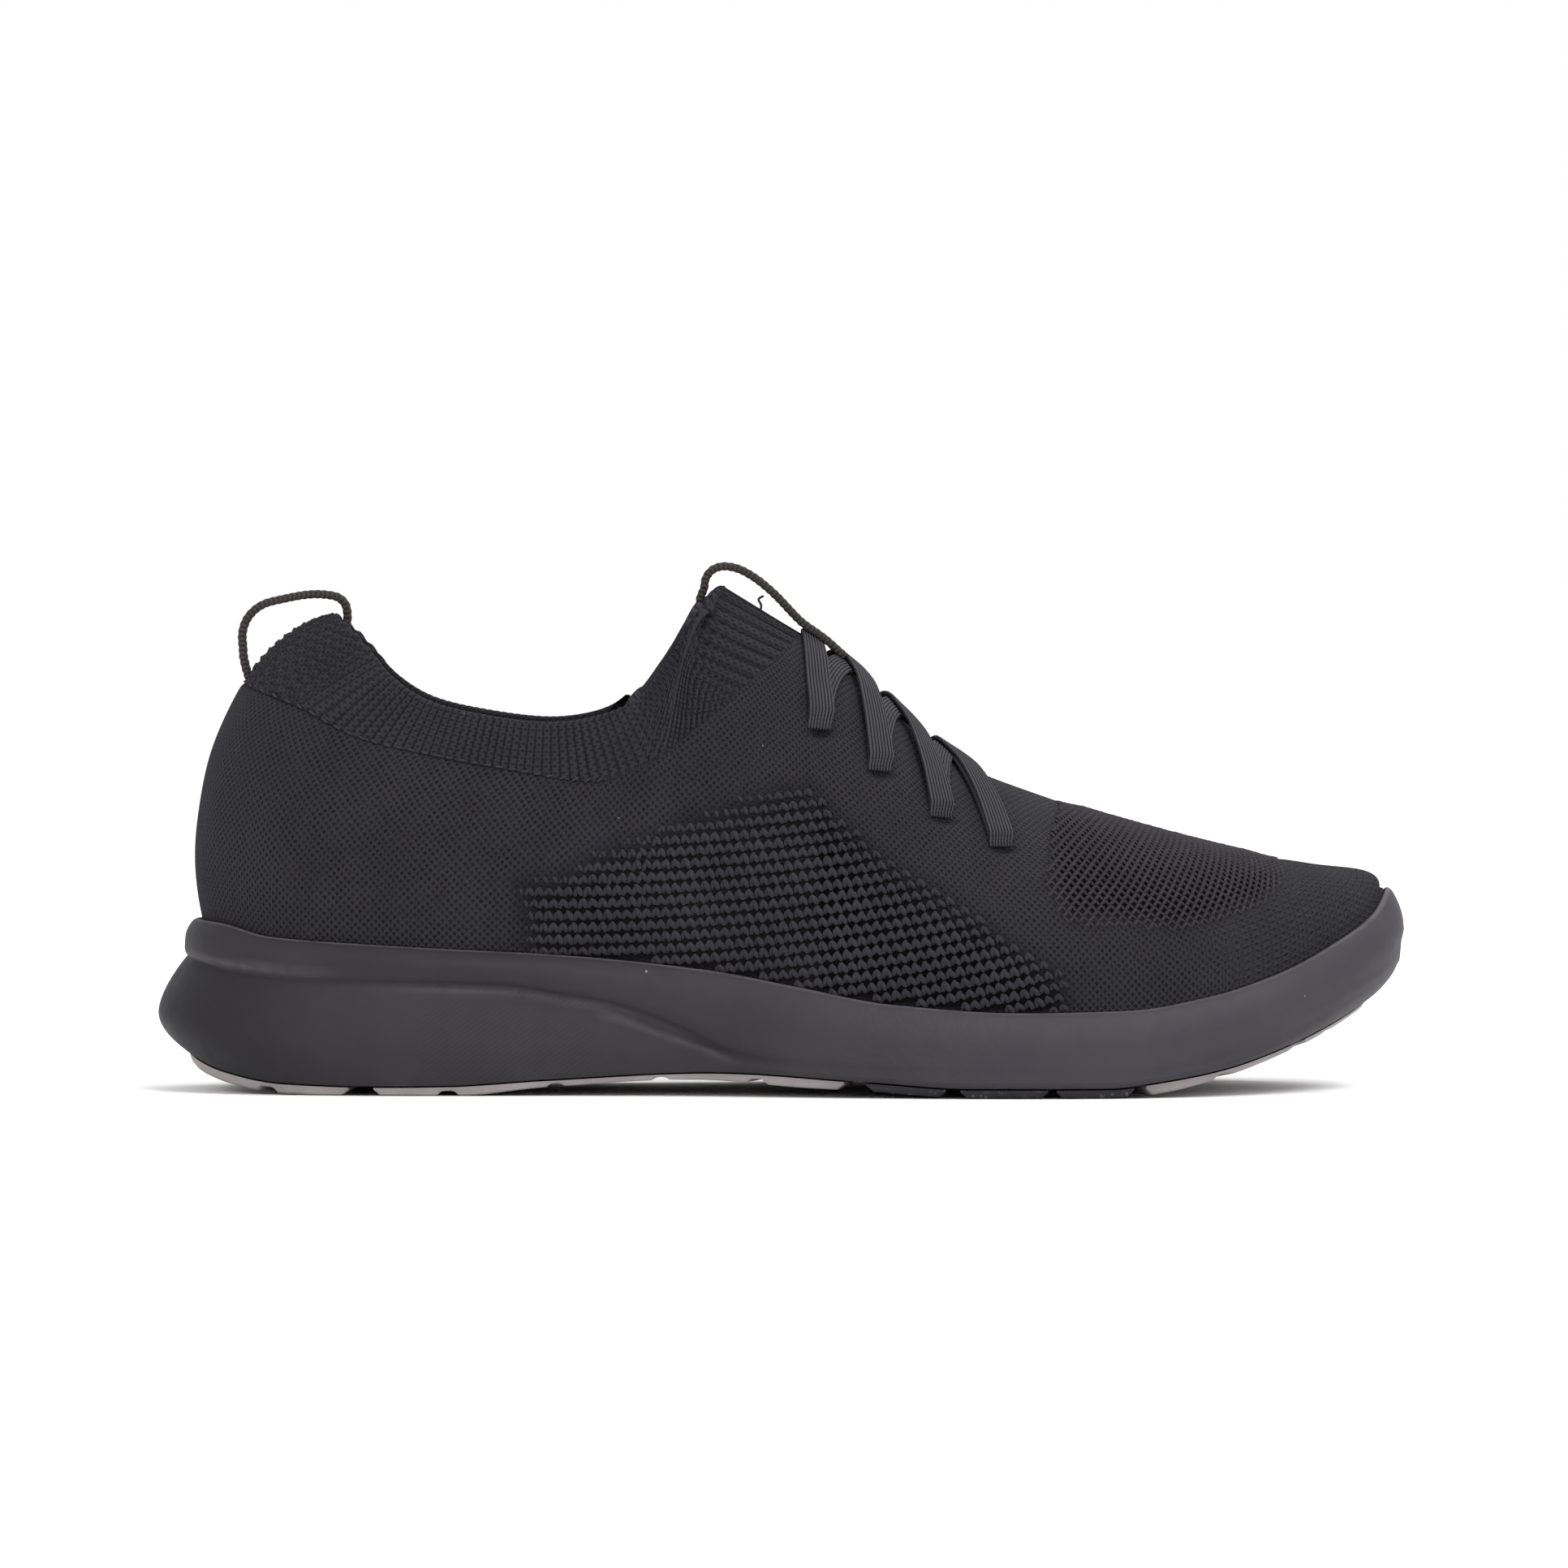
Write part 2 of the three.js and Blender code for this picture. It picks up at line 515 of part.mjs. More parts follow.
// A strand from an outer eyelet to an inner one, at a level above the knit for each end.
function laceStrand(from, to, startLevel, endLevel) {
  return loft(span(0, 1, STRAND_STEPS).map((t) => {
    const height = lerp(startLevel, endLevel, t);
    const at = (u, h) => acrossInstep(from, to, u, h);
    const ahead = at(Math.min(t + STRAND_DELTA, 1), height);
    const along = ahead.sub(at(Math.max(t - STRAND_DELTA, 0), height)).normalize();
    const low = at(t, height);
    const up = at(t, height + 1).sub(low).normalize();
    const half = along.cross(up).normalize().multiplyScalar(LACE.width / 2);
    const high = low.clone().addScaledVector(up, LACE.thick);
    return [low.clone().sub(half), low.clone().add(half), high.clone().add(half), high.clone().sub(half)];
  }), { ring: false });
}

// A block at an eyelet, square to the knit, from one height above its outer face to another.
function blockAt(side, { share, v }, along, across, low, high) {
  const at = outwardFrom(side, share, v, 0);
  const up = outwardFrom(side, share, v, 1).sub(at).normalize();
  const forward = upperPoint(side, share + NEARBY, v, 0).sub(at);
  const down = up.clone().cross(forward).normalize();
  const ahead = down.clone().cross(up).normalize();
  const box = new THREE.BoxGeometry(across, along, high - low);
  box.translate(0, 0, (low + high) / 2);
  box.applyMatrix4(new THREE.Matrix4().makeBasis(ahead, down, up).setPosition(at));
  return toSolid(box);
}
function blocksAtEyelets(along, across, low, high) {
  const places = [LATERAL, MEDIAL].flatMap((side) => eyelets.map((eyelet) => [side, eyelet]));
  return places.map(([side, eyelet]) => blockAt(side, eyelet, along, across, low, high));
}

function elasticLace() {
  const { under, over } = LACE;
  const [top, bottom] = [eyelets[0], eyelets.at(-1)];
  const strands = [laceStrand(top, top, over, under), laceStrand(bottom, bottom, under, over)];
  for (let i = 0; i < eyelets.length - 1; i++) {
    strands.push(laceStrand(eyelets[i], eyelets[i + 1], under, under));
    strands.push(laceStrand(eyelets[i + 1], eyelets[i], over, over));
  }
  const crest = over + LACE.thick + TURN.proud;
  const turns = blocksAtEyelets(TURN.along, LACE.width + TURN.spare, -LACE.dive, crest);
  return wasm.Manifold.union([...strands, ...turns]);
}
function laceSlots() {
  return wasm.Manifold.union(blocksAtEyelets(SLOT.along, SLOT.across, -KNIT - SLOT.reach, SLOT.reach));
}

// ---- Pull loops: x and z points along each webbing ----------------------------------------------------
const HEEL_BOW = [
  [19.8, 101.8], [19.6, 106], [20.9, 109.6], [24, 112.4], [29.2, 113.9], [35, 114.9], [38.7, 114.9],
  [42, 114.2], [43.6, 112.6],
];
const HEEL_OUTER_END = [[19.75, 101.3], [19.6, 98.2], [18.4, 95.6], [16.6, 93.2]];
const HEEL_INNER_END = [[43.9, 111.4], [44, 108.8], [43.2, 106.4], [41.6, 105.2]];
const TONGUE_BOW = [
  [126.9, 116.2], [127, 118], [128.2, 120.2], [130.6, 121.4], [134.4, 121], [138.3, 119], [142, 116.1],
  [144.6, 113.6],
];
const TONGUE_INNER_END = [[126.5, 115.6], [125.8, 113.4], [126.4, 111], [129.2, 108.8]];
const TONGUE_TAIL = [[145, 113.2], [147.8, 111.5], [151.5, 110.2], [155, 108.5], [158.4, 106.3]];

// A length of webbing lying along x and z points, its width across the shoe.
function webbing(points, middle) {
  const curve = new THREE.CatmullRomCurve3(points.map(([x, z]) => vec(x, z)));
  const steps = curve.getPoints(points.length * 2);
  const edge = (sign) => steps.map((p, i) => {
    const along = curve.getTangent(i / (steps.length - 1));
    return new THREE.Vector2(p.x - sign * along.y * TAPE.thick / 2, p.y + sign * along.x * TAPE.thick / 2);
  });
  const shape = new THREE.Shape([...edge(1), ...edge(-1).reverse()]);
  const geometry = new THREE.ExtrudeGeometry(shape, { depth: TAPE.width, bevelEnabled: false });
  geometry.rotateX(Math.PI / 2);
  geometry.translate(0, middle + TAPE.width / 2, 0);
  return toSolid(mergeVertices(geometry.deleteAttribute("normal").deleteAttribute("uv"), MERGE));
}

// ---- Materials ----------------------------------------------------------------------------------------
const MATERIALS = {
  knit: { color: 0x34333a, roughness: 0.95 },
  rib: { color: 0x36353b, roughness: 0.95 },
  lining: { color: 0x2c2b30, roughness: 0.95 },
  foam: { color: 0x434047, roughness: 0.7 },
  board: { color: 0x8d8a86, roughness: 0.9 },
  stiffener: { color: 0x6f6c68, roughness: 0.8 },
  lace: { color: 0x46464b, roughness: 0.85 },
  webbing: { color: 0x464141, roughness: 0.9 },
  grey_rubber: { color: 0x746f71, roughness: 0.65 },
  dark_rubber: { color: 0x333037, roughness: 0.65 },
};

const shoe = new THREE.Group();

function add(name, solid, finish) {
  const mesh = solid.getMesh();
  const geometry = new THREE.BufferGeometry();
  geometry.setAttribute("position", new THREE.BufferAttribute(Float32Array.from(mesh.vertProperties), 3));
  geometry.setIndex(new THREE.BufferAttribute(Uint32Array.from(mesh.triVerts), 1));
  const material = new THREE.MeshStandardMaterial({ ...MATERIALS[finish], metalness: 0 });
  const part = new THREE.Mesh(geometry, material);
  part.name = name;
  shoe.add(part);
}

// ---- The shoe, piece by piece -------------------------------------------------------------------------
const midsole = overFootprint(midsoleColumn);
add("midsole", rearOf(midsole), "foam");
add("midsole_forefoot", frontOf(midsole), "foam");

const knit = knitUpper();
add("ribbed_collar", ribbedCollar(), "rib");
add("knit_upper", rearOf(knit), "knit");
add("knit_upper_flex", flexOf(knit), "knit");
add("knit_upper_toe", frontOf(knit), "knit");

// A layer behind the knit, between two rows of the upper.
const behindKnit = (places, rows, depth, thick) => sheet(places, () => rows, depth, depth + thick);
const counterAt = KNIT + LAYER_GAP;
const liningAt = counterAt + COUNTER + LAYER_GAP;
add("heel_counter", behindKnit(aroundHeel(66), span(-0.6, 0.42, 5), counterAt, COUNTER), "stiffener");
add("heel_lining", behindKnit(aroundHeel(72), span(-0.6, 0.5, 5), liningAt, LINING), "lining");
add("collar_padding", behindKnit(aroundHeel(58), span(0.56, 0.93, 5), counterAt, PADDING), "lining");
add("toe_puff", behindKnit(aroundToe(240), span(0.04, 0.8, 4), counterAt, PUFF), "stiffener");

// A film behind each side's slots. It lies deeper than the lace's turns reach.
const STAY = { above: 0.02, below: 0.016, halfHeight: 0.07, depth: counterAt + LAYER_GAP };
function eyestayBacking(side) {
  const [top, bottom] = [eyelets[0], eyelets.at(-1)];
  const rows = (_, share) => {
    const middle = lerp(top.v, bottom.v, (share - top.share) / (bottom.share - top.share));
    return span(middle - STAY.halfHeight, middle + STAY.halfHeight, 3);
  };
  const strip = onSide(side, span(top.share - STAY.above, bottom.share + STAY.below, 7));
  return sheet(strip, rows, STAY.depth, STAY.depth + BACKING);
}
add("eyestay_backing_lateral", eyestayBacking(LATERAL), "stiffener");
add("eyestay_backing_medial", eyestayBacking(MEDIAL), "stiffener");

const board = overFootprint((i) => layerColumn(i, boardInset, BED_GAP, BED_GAP + BOARD));
add("strobel_board", rearOf(board), "board");
add("strobel_board_forefoot", frontOf(board), "board");
const insoleLow = BED_GAP + BOARD + BED_GAP;
const insole = overFootprint((i) => layerColumn(i, insoleInset, insoleLow, insoleLow + INSOLE));
add("insole", rearOf(insole), "lining");
add("insole_forefoot", frontOf(insole), "lining");

add("elastic_lace", elasticLace(), "lace");

add("heel_loop", webbing(HEEL_BOW, 0), "webbing");
add("heel_loop_outer_end", webbing(HEEL_OUTER_END, 0), "webbing");
add("heel_loop_inner_end", webbing(HEEL_INNER_END, 0), "webbing");
const throatY = middleY(THROAT_X);
add("tongue_loop", webbing(TONGUE_BOW, throatY), "webbing");
add("tongue_loop_inner_end", webbing(TONGUE_INNER_END, throatY), "webbing");
add("tongue_loop_tail", webbing(TONGUE_TAIL, throatY), "webbing");

add("heel_pad", treadPad(aroundHeel(44.5)), "grey_rubber");
add("toe_tip_pad", treadPad(aroundToe(270.5), TREAD.toeWidth), "grey_rubber");
const LUGS = [[163.5, 182], [185.5, 206], [208, 226.5]];
for (const [side, word] of [[LATERAL, "lateral"], [MEDIAL, "medial"]]) {
  add(`arch_pad_${word}`, treadPad(alongSide(side, 50.5, 158.5)), "grey_rubber");
  add(`toe_pad_${word}`, treadPad(alongSide(side, 229.5, 268)), "grey_rubber");
  LUGS.forEach(([from, to], i) => {
    add(`forefoot_lug_${word}_${i + 1}`, treadPad(alongSide(side, from, to)), "dark_rubber");
  });
}

const centre = new THREE.Box3().setFromObject(shoe).getCenter(vec(0, 0));
shoe.position.set(-centre.x, -centre.y, 0);

export default shoe;
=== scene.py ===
# A knit running shoe: fabrics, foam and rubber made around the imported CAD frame.
# Shapes are worked out in the design's own millimetres: x from the heel's back to the toe's tip, y towards
# the foot's inner side and z up from the ground. They are placed in the frame, in metres, at the very end.
import json
import math

import bmesh
import bpy
import numpy as np
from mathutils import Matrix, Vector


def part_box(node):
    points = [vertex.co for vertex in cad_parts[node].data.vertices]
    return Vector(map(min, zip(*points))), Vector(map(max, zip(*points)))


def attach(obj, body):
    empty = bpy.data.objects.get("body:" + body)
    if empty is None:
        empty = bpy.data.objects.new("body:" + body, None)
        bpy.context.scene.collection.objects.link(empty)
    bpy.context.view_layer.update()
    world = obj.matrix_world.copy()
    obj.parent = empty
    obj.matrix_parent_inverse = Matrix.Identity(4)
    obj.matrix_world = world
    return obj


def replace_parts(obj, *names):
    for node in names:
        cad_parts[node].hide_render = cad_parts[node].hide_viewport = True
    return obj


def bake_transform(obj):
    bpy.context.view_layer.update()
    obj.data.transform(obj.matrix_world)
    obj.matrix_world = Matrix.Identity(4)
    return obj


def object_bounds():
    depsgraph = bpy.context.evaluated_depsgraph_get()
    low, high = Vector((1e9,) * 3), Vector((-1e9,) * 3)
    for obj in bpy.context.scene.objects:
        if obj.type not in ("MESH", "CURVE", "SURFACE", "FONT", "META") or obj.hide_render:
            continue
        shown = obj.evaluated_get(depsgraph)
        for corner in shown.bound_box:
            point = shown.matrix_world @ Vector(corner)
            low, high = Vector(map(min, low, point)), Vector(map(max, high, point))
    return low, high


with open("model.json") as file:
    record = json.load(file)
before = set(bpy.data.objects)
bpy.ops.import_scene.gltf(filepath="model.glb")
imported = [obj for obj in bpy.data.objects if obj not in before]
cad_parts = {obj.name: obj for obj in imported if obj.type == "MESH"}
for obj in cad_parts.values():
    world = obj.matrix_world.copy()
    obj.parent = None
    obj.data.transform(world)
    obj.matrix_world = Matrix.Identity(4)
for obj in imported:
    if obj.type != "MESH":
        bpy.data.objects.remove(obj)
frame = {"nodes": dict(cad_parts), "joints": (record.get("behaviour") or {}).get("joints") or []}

cad_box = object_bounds()

# ---- Driving dimensions, as in the CAD model ----
LENGTH = 290
GAP = 0.35
KNIT = 2.2
COUNTER, LINING, PADDING, BACKING = 1.4, 1.1, 2.8, 0.8
BOARD, INSOLE, BED_GAP, LAYER_GAP, LIP_WALL = 1.6, 4, 0.8, 0.9, 1.4
LACE_WIDTH = 6
TAPE_WIDTH, TAPE_THICK = 7, 2
FLEX_X, FLEX_Z = 207, 20.8  # the line the toe bends at
BEND = (180, 236)  # the span around the flex line, given with each piece that crosses it
LATERAL, MEDIAL = -1, 1
SIDES = (LATERAL, MEDIAL)
SIDE_WORDS = {LATERAL: "lateral", MEDIAL: "medial"}

JOINTS = {joint["name"]: joint for joint in frame["joints"]}
flex_at = JOINTS["forefoot_flex"]["pos_m"]
loop_low, loop_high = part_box("heel_loop")
ORIGIN = np.array([FLEX_X - 1000 * flex_at[0], -500 * (loop_low.y + loop_high.y), 0])


def in_row(points):
    """Design millimetres to metres in the frame."""
    return (np.asarray(points, float) - ORIGIN) / 1000


# ---- Curves ----
def lerp(a, b, t):
    return a + (b - a) * t


def smoothstep(x, low, high):
    t = np.clip((x - low) / (high - low), 0, 1)
    return t * t * (3 - 2 * t)


def hump(x, start, full, fall, end):
    """Rises from 0 at start to 1 at full, and falls back from fall to end."""
    return smoothstep(x, start, full) * (1 - smoothstep(x, fall, end))


def unit(v):
    return v / np.maximum(np.linalg.norm(v, axis=-1, keepdims=True), 1e-12)


def stack(x, y, z):
    return np.stack(np.broadcast_arrays(x, y, z), -1).astype(float)


def walk(points):
    """The distance walked to each point of a run."""
    return np.concatenate([[0], np.cumsum(np.linalg.norm(np.diff(points, axis=0), axis=1))])


def profile(*points):
    """A smooth value against x, through its points without overshoot, and level past both ends."""
    xs, vs = np.array(points, float).T
    width = np.diff(xs)
    secant = np.diff(vs) / width
    before, after = secant[:-1], secant[1:]
    same_way = before * after > 0
    total = np.where(same_way, before + after, 1)
    inner = np.where(same_way, 2 * before * after / total, 0)
    slope = np.concatenate([secant[:1], inner, secant[-1:]])

    def at(x):
        x = np.clip(x, xs[0], xs[-1])
        i = np.clip(np.searchsorted(xs, x) - 1, 0, len(xs) - 2)
        t = (x - xs[i]) / width[i]
        s = 1 - t
        ends = vs[i] * s * s * (1 + 2 * t) + vs[i + 1] * t * t * (1 + 2 * s)
        return ends + width[i] * (slope[i] * s * s * t - slope[i + 1] * t * t * s)

    return at


def catmull_rom(points, t, closed=False):
    """Points at shares t along a centripetal Catmull-Rom curve."""
    p = np.asarray(points, float)
    count = len(p)
    place = np.asarray(t, float) * (count if closed else count - 1)
    i = np.floor(place).astype(int)
    if closed:
        around_i = [(i + k) % count for k in (-1, 0, 1, 2)]
    else:
        i = np.clip(i, 0, count - 2)
        p = np.concatenate([[2 * p[0] - p[1]], p, [2 * p[-1] - p[-2]]])
        around_i = [i + k for k in range(4)]
    w = (place - i)[..., None]
    a, b, c, d = (p[k] for k in around_i)
    gap = [np.sqrt(np.linalg.norm(v, axis=-1, keepdims=True)) for v in (b - a, c - b, d - c)]
    d0, d1, d2 = (np.maximum(g, 1e-4) for g in gap)
    leave = ((b - a) / d0 - (c - a) / (d0 + d1) + (c - b) / d1) * d1
    arrive = ((c - b) / d1 - (d - b) / (d1 + d2) + (d - c) / d2) * d1
    cubic = (2 * b - 2 * c + leave + arrive) * w + (3 * c - 3 * b - 2 * leave - arrive)
    return (cubic * w + leave) * w + b


class ByLength:
    """A curve read by distance along it, from a dense list of its points."""

    def __init__(self, points):
        self.points = np.asarray(points, float)
        self.at = walk(self.points)
        self.length = self.at[-1]

    def point(self, s):
        return np.stack([np.interp(s, self.at, axis) for axis in self.points.T], -1)


# ---- Footprint ----
LATERAL_EDGE = [
    (4.5, -17), (19, -30.5), (48, -37), (85, -38.5), (122, -41), (158, -47), (192, -50.8), (224, -49),
    (252, -40), (274, -24), (286, -7),
]
MEDIAL_EDGE = [
    (287, 26), (275, 39.5), (254, 48), (226, 51.8), (197, 51), (165, 45), (130, 37.5), (95, 34.5), (60, 36),
    (22, 31.5), (5, 17.5),
]
CORNERS = [(x, y, 0) for x, y in [(0, 0), *LATERAL_EDGE, (LENGTH, 10), *MEDIAL_EDGE]]
CURVE_STEPS = 1200
TIP = (len(LATERAL_EDGE) + 1) / len(CORNERS)
EDGES = {
    side: ByLength(catmull_rom(CORNERS, np.linspace(start, TIP, CURVE_STEPS), closed=True))
    for side, start in ((LATERAL, 0), (MEDIAL, 1))
}
NEARBY = 0.005


def edge_point(side, share):
    here, other = EDGES[side], EDGES[-side]
    past = np.where(share < 0, -share, 2 - share)
    within = (share >= 0) & (share <= 1)
    return np.where(within[..., None], here.point(share * here.length), other.point(past * other.length))


def outline(side, share):
    """The outline's point and outward direction at a share (0 heel, 1 toe) of one side."""
    share = np.asarray(share, float)
    along = unit(edge_point(side, share + NEARBY) - edge_point(side, share - NEARBY))
    out = stack(-side * along[..., 1], side * along[..., 0], 0 * share)
    return edge_point(side, share), out


def bisect(rising, value, low, high, halvings=26):
    """Where a rising function reaches a value, by halving, for whole arrays at once."""
    low = np.full(np.shape(value), float(low))
    high = np.full(np.shape(value), float(high))
    for _ in range(halvings):
        middle = (low + high) / 2
        under = rising(middle) < value
        low = np.where(under, middle, low)
        high = np.where(under, high, middle)
    return (low + high) / 2


def outline_x(side, share):
    return outline(side, share)[0][..., 0]


def share_at(side, x):
    return bisect(lambda s: outline_x(side, s), np.asarray(x, float), 0, 1)


# ---- Heights along the shoe ----
sole_bottom = profile(
    (0, 14), (5, 10.2), (15, 5.5), (30, 2.8), (50, 2.2), (68, 2.4), (90, 3.8), (130, 5.7), (165, 3.7),
    (188, 2.3), (220, 2.3), (231, 3.6), (246, 6.3), (262, 11.5), (279, 19.4), (290, 26),
)
tread_bottom = profile(
    (0, 13), (5.5, 8.6), (10.5, 4.7), (21, 1.5), (30, 0.3), (40, 0), (70, 0), (90, 2), (125, 3.9), (150, 2.3),
    (165, 1.6), (180, 0.4), (188, 0), (222, 0), (232, 1.1), (246, 4.4), (265, 11.3), (278, 17.6), (290, 24),
)
lip_top = profile(
    (0, 39.6), (9, 39), (24, 36.2), (60, 34), (95, 32.2), (127, 29), (148, 25.2), (170, 21.3), (200, 19.5),
    (225, 20), (245, 23.1), (262, 28.2), (276, 34.8), (286, 41), (290, 46.3),
)
footbed = profile(
    (0, 26), (20, 24.5), (60, 23), (107, 20.5), (148, 15), (190, 10.7), (215, 10.5), (245, 14), (262, 19),
    (276, 25.5), (290, 34),
)
groove = profile(
    (0, 31.2), (16, 28), (36, 26.2), (60, 25.6), (80, 25.1), (95, 22.9), (107, 20.8), (120, 16.3),
    (134, 10.6), (150, 8), (190, 6.4), (225, 6.6), (250, 11.4), (275, 21.4), (290, 29),
)
second_ridge = profile((98, 19.8), (106.6, 18), (117, 14.2), (127.5, 10.7), (136, 7.2))
# How far each line of the wall lies inside the outline.
WALL = {
    "bottom": profile((0, 6.5), (30, 4.5), (60, 3.5), (110, 4), (150, 3.2), (205, 3), (250, 4.5), (290, 8.5)),
    "wedge": profile(
        (0, 0), (30, 0), (60, 0.8), (95, 2.6), (125, 3), (150, 1.6), (200, 1.2), (250, 2), (290, 3),
    ),
    "groove": profile(
        (0, 6.8), (30, 5), (60, 3.8), (95, 3.6), (130, 3.2), (150, 1.2), (200, 0.9), (290, 1.4),
    ),
    "ledge": profile((0, 6.1), (30, 4.2), (60, 2.8), (95, 1), (125, 0.6), (150, 0.6), (200, 0.6), (290, 0.9)),
    "band": profile((0, 6.2), (30, 4.2), (60, 2.6), (95, 0.8), (150, 0.2), (205, 0), (290, 0)),
    "lip": profile((0, 8.4), (30, 7), (60, 5.5), (110, 4), (170, 3.2), (250, 3), (290, 3.2)),
}
WEDGE_PEAK, TOE_PEAK = 0.4, 0.85  # how far up to the groove the wall stands out most


def cup_inset(x):
    return WALL["lip"](x) + LIP_WALL


def board_inset(x):
    return cup_inset(x) + GAP + KNIT + GAP


# ---- Top line of the upper ----
RIM_HALF = [
    (40.5, 0, 110.3), (41.8, 6, 109.8), (45, 11, 107), (49.5, 15, 102), (54, 18, 96.5), (62, 21.5, 91),
    (75, 25, 87.4), (92, 27, 85.5), (104, 27, 87.6), (113, 25.5, 92.3), (120, 23, 101), (126, 17.5, 109.5),
    (130, 9.5, 115), (131.6, 0, 116.6),
]
ridge_z = profile(
    (131.6, 116.6), (143, 109.6), (158, 100.2), (166, 93.4), (173, 86.6), (181, 79.8), (190, 74.6),
    (203, 69.6), (218, 64.6), (241, 58.2), (256, 54.6), (266, 52.7), (275, 52.9), (290, 50),
)
middle_y = profile((0, 0), (120, 0.5), (160, 1.5), (220, 4.5), (262, 8.5), (290, 10))
THROAT_X, _, THROAT_Z = RIM_HALF[-1]
RIDGE_END = 263
RIM_LOOP = [*RIM_HALF, *[(x, -half, z) for x, half, z in RIM_HALF[-2:0:-1]]]
RIM_STEPS = np.linspace(0, (len(RIM_HALF) - 1) / len(RIM_LOOP), CURVE_STEPS)
rim = ByLength(catmull_rom(RIM_LOOP, RIM_STEPS, closed=True))
ridge_x = np.linspace(THROAT_X, RIDGE_END, CURVE_STEPS)
ridge = ByLength(stack(ridge_x, 0, ridge_z(ridge_x)))

HALF = 28  # the CAD model's stations along each side
THROAT_STATION = 12
THROAT_SHARE = THROAT_STATION / HALF - 0.06 * math.sin(2 * math.pi * THROAT_STATION / HALF)
top_length = profile(
    *[(s, f * rim.length) for s, f in ((0, 0), (0.12, 0.15), (0.28, 0.5), (0.38, 0.8), (THROAT_SHARE, 1))],
    *[(s, rim.length + f * ridge.length) for s, f in ((0.52, 0.16), (0.75, 0.66), (0.9, 0.92), (1, 1))],
)
THROAT_TURN = 30


def top_line(side, share):
    """Rim or ridge point of one side, with the line's direction and the way in towards the foot."""
    along = top_length(share)
    on_rim = (along <= rim.length)[..., None]
    at = np.where(on_rim, rim.point(along), ridge.point(along - rim.length))
    onward = np.maximum(at[..., 0], THROAT_X)
    rise = ridge_z(onward + 1) - ridge_z(onward)
    ridge_way = stack(1, 0, rise)
    rim_way = unit(rim.point(along + 1) - rim.point(np.minimum(along, rim.length) - 1))
    turned = smoothstep(along, rim.length - THROAT_TURN, rim.length)[..., None]
    way = np.where(on_rim, lerp(rim_way, ridge_way, turned), ridge_way)
    inward = np.where(on_rim, stack(rim_way[..., 1], -rim_way[..., 0], -1), stack(0, 0, -1))
    flip = np.array([1, side, 1])
    at = at * flip
    at[..., 1] += middle_y(at[..., 0])
    return at, way * flip, inward * flip, rise


# ---- The upper's surface ----
bulge = profile((0, 6.5), (20, 5.5), (50, 3), (120, 2.5), (150, 3.5), (205, 3), (260, 2), (290, 0.8))
bulge_rise = profile((0, 0.38), (110, 0.38), (150, 0.42), (205, 0.55), (260, 0.7), (290, 0.95))
COLLAR_REACH, CROWN_REACH = 0.77, 0.42
collar_drop = profile((0, 0.06), (30, 0.2), (60, 0.28), (110, 0.25), (138, 0))
FOLD = (95, 130)  # between these the top changes from an open collar to a closed instep


def upper_point(side, share, v, depth):
    """A point of the upper: v is 0 at the midsole's lip, 1 on the rim or ridge and -1 at the footbed."""
    share, v, depth = (np.asarray(a, float) for a in np.broadcast_arrays(share, v, depth))
    point, out = outline(side, share)
    x = point[..., 0]
    foot = point - out * (cup_inset(x) + GAP + depth)[..., None]
    foot[..., 2] = lip_top(x)
    below = foot.copy()
    below[..., 2] = lerp(foot[..., 2], footbed(x) + GAP, np.clip(-v, 0, 1))
    at, way, inward_way, slope = top_line(side, share)
    reach = foot - at
    reach[..., 2] = 0
    rise = at[..., 2] - foot[..., 2]
    collar = at + reach * COLLAR_REACH
    collar[..., 2] -= collar_drop(x) * rise
    crown = at + reach * CROWN_REACH
    crown[..., 2] += slope * reach[..., 0] * CROWN_REACH
    pull = lerp(collar, crown, smoothstep(at[..., 0], *FOLD)[..., None])
    inward = unit(np.cross(at - pull, way))
    inward *= np.where((inward * inward_way).sum(-1, keepdims=True) < 0, -1, 1)
    end = at + inward * depth[..., None]
    pull = pull + inward * depth[..., None]
    swell = foot + out * bulge(x)[..., None]
    swell[..., 2] += bulge_rise(x) * rise
    t = np.clip(v, 0, 1)[..., None]
    s = 1 - t
    curve = foot * s**3 + swell * 3 * s * s * t + pull * 3 * s * t * t + end * t**3
    return np.where((v < 0)[..., None], below, curve)


def surface(side, share, v, height):
    """A point at a height above the upper's outer face, and the outward normal there."""
    on = upper_point(side, share, v, 0)
    normal = unit(on - upper_point(side, share, v, 1))
    return on + normal * np.asarray(height, float)[..., None], normal


def find_on_upper(x, z):
    """The share and row of the upper at which its outer side has a given x and z."""
    x, z = np.asarray(x, float), np.asarray(z, float)
    halvings = 18

    def row(share):
        return bisect(lambda v: upper_point(LATERAL, share, v, 0)[..., 2], z, 0, 1, halvings)

    share = bisect(lambda s: upper_point(LATERAL, s, row(s), 0)[..., 0], x, 0, 0.95, halvings)
    return share, row(share)


seam_z = profile(
    (19, 95.4), (21, 94), (27, 91.7), (34.5, 88.6), (42, 84.4), (50, 81.2), (61, 78.8), (80, 75.3),
    (102, 72.3), (112, 75), (127, 86), (140, 97), (152, 107),
)


def seam_row(side, share, shift=0):
    """The row at which the collar's seam, moved up by shift, crosses each share of one side."""

    def above(v):
        p = upper_point(side, share, v, 0)
        return p[..., 2] - seam_z(p[..., 0]) - shift

    row = bisect(above, np.zeros(np.shape(share)), 0, 1)
    return np.where(above(np.ones(np.shape(share))) <= 0, 1, row)


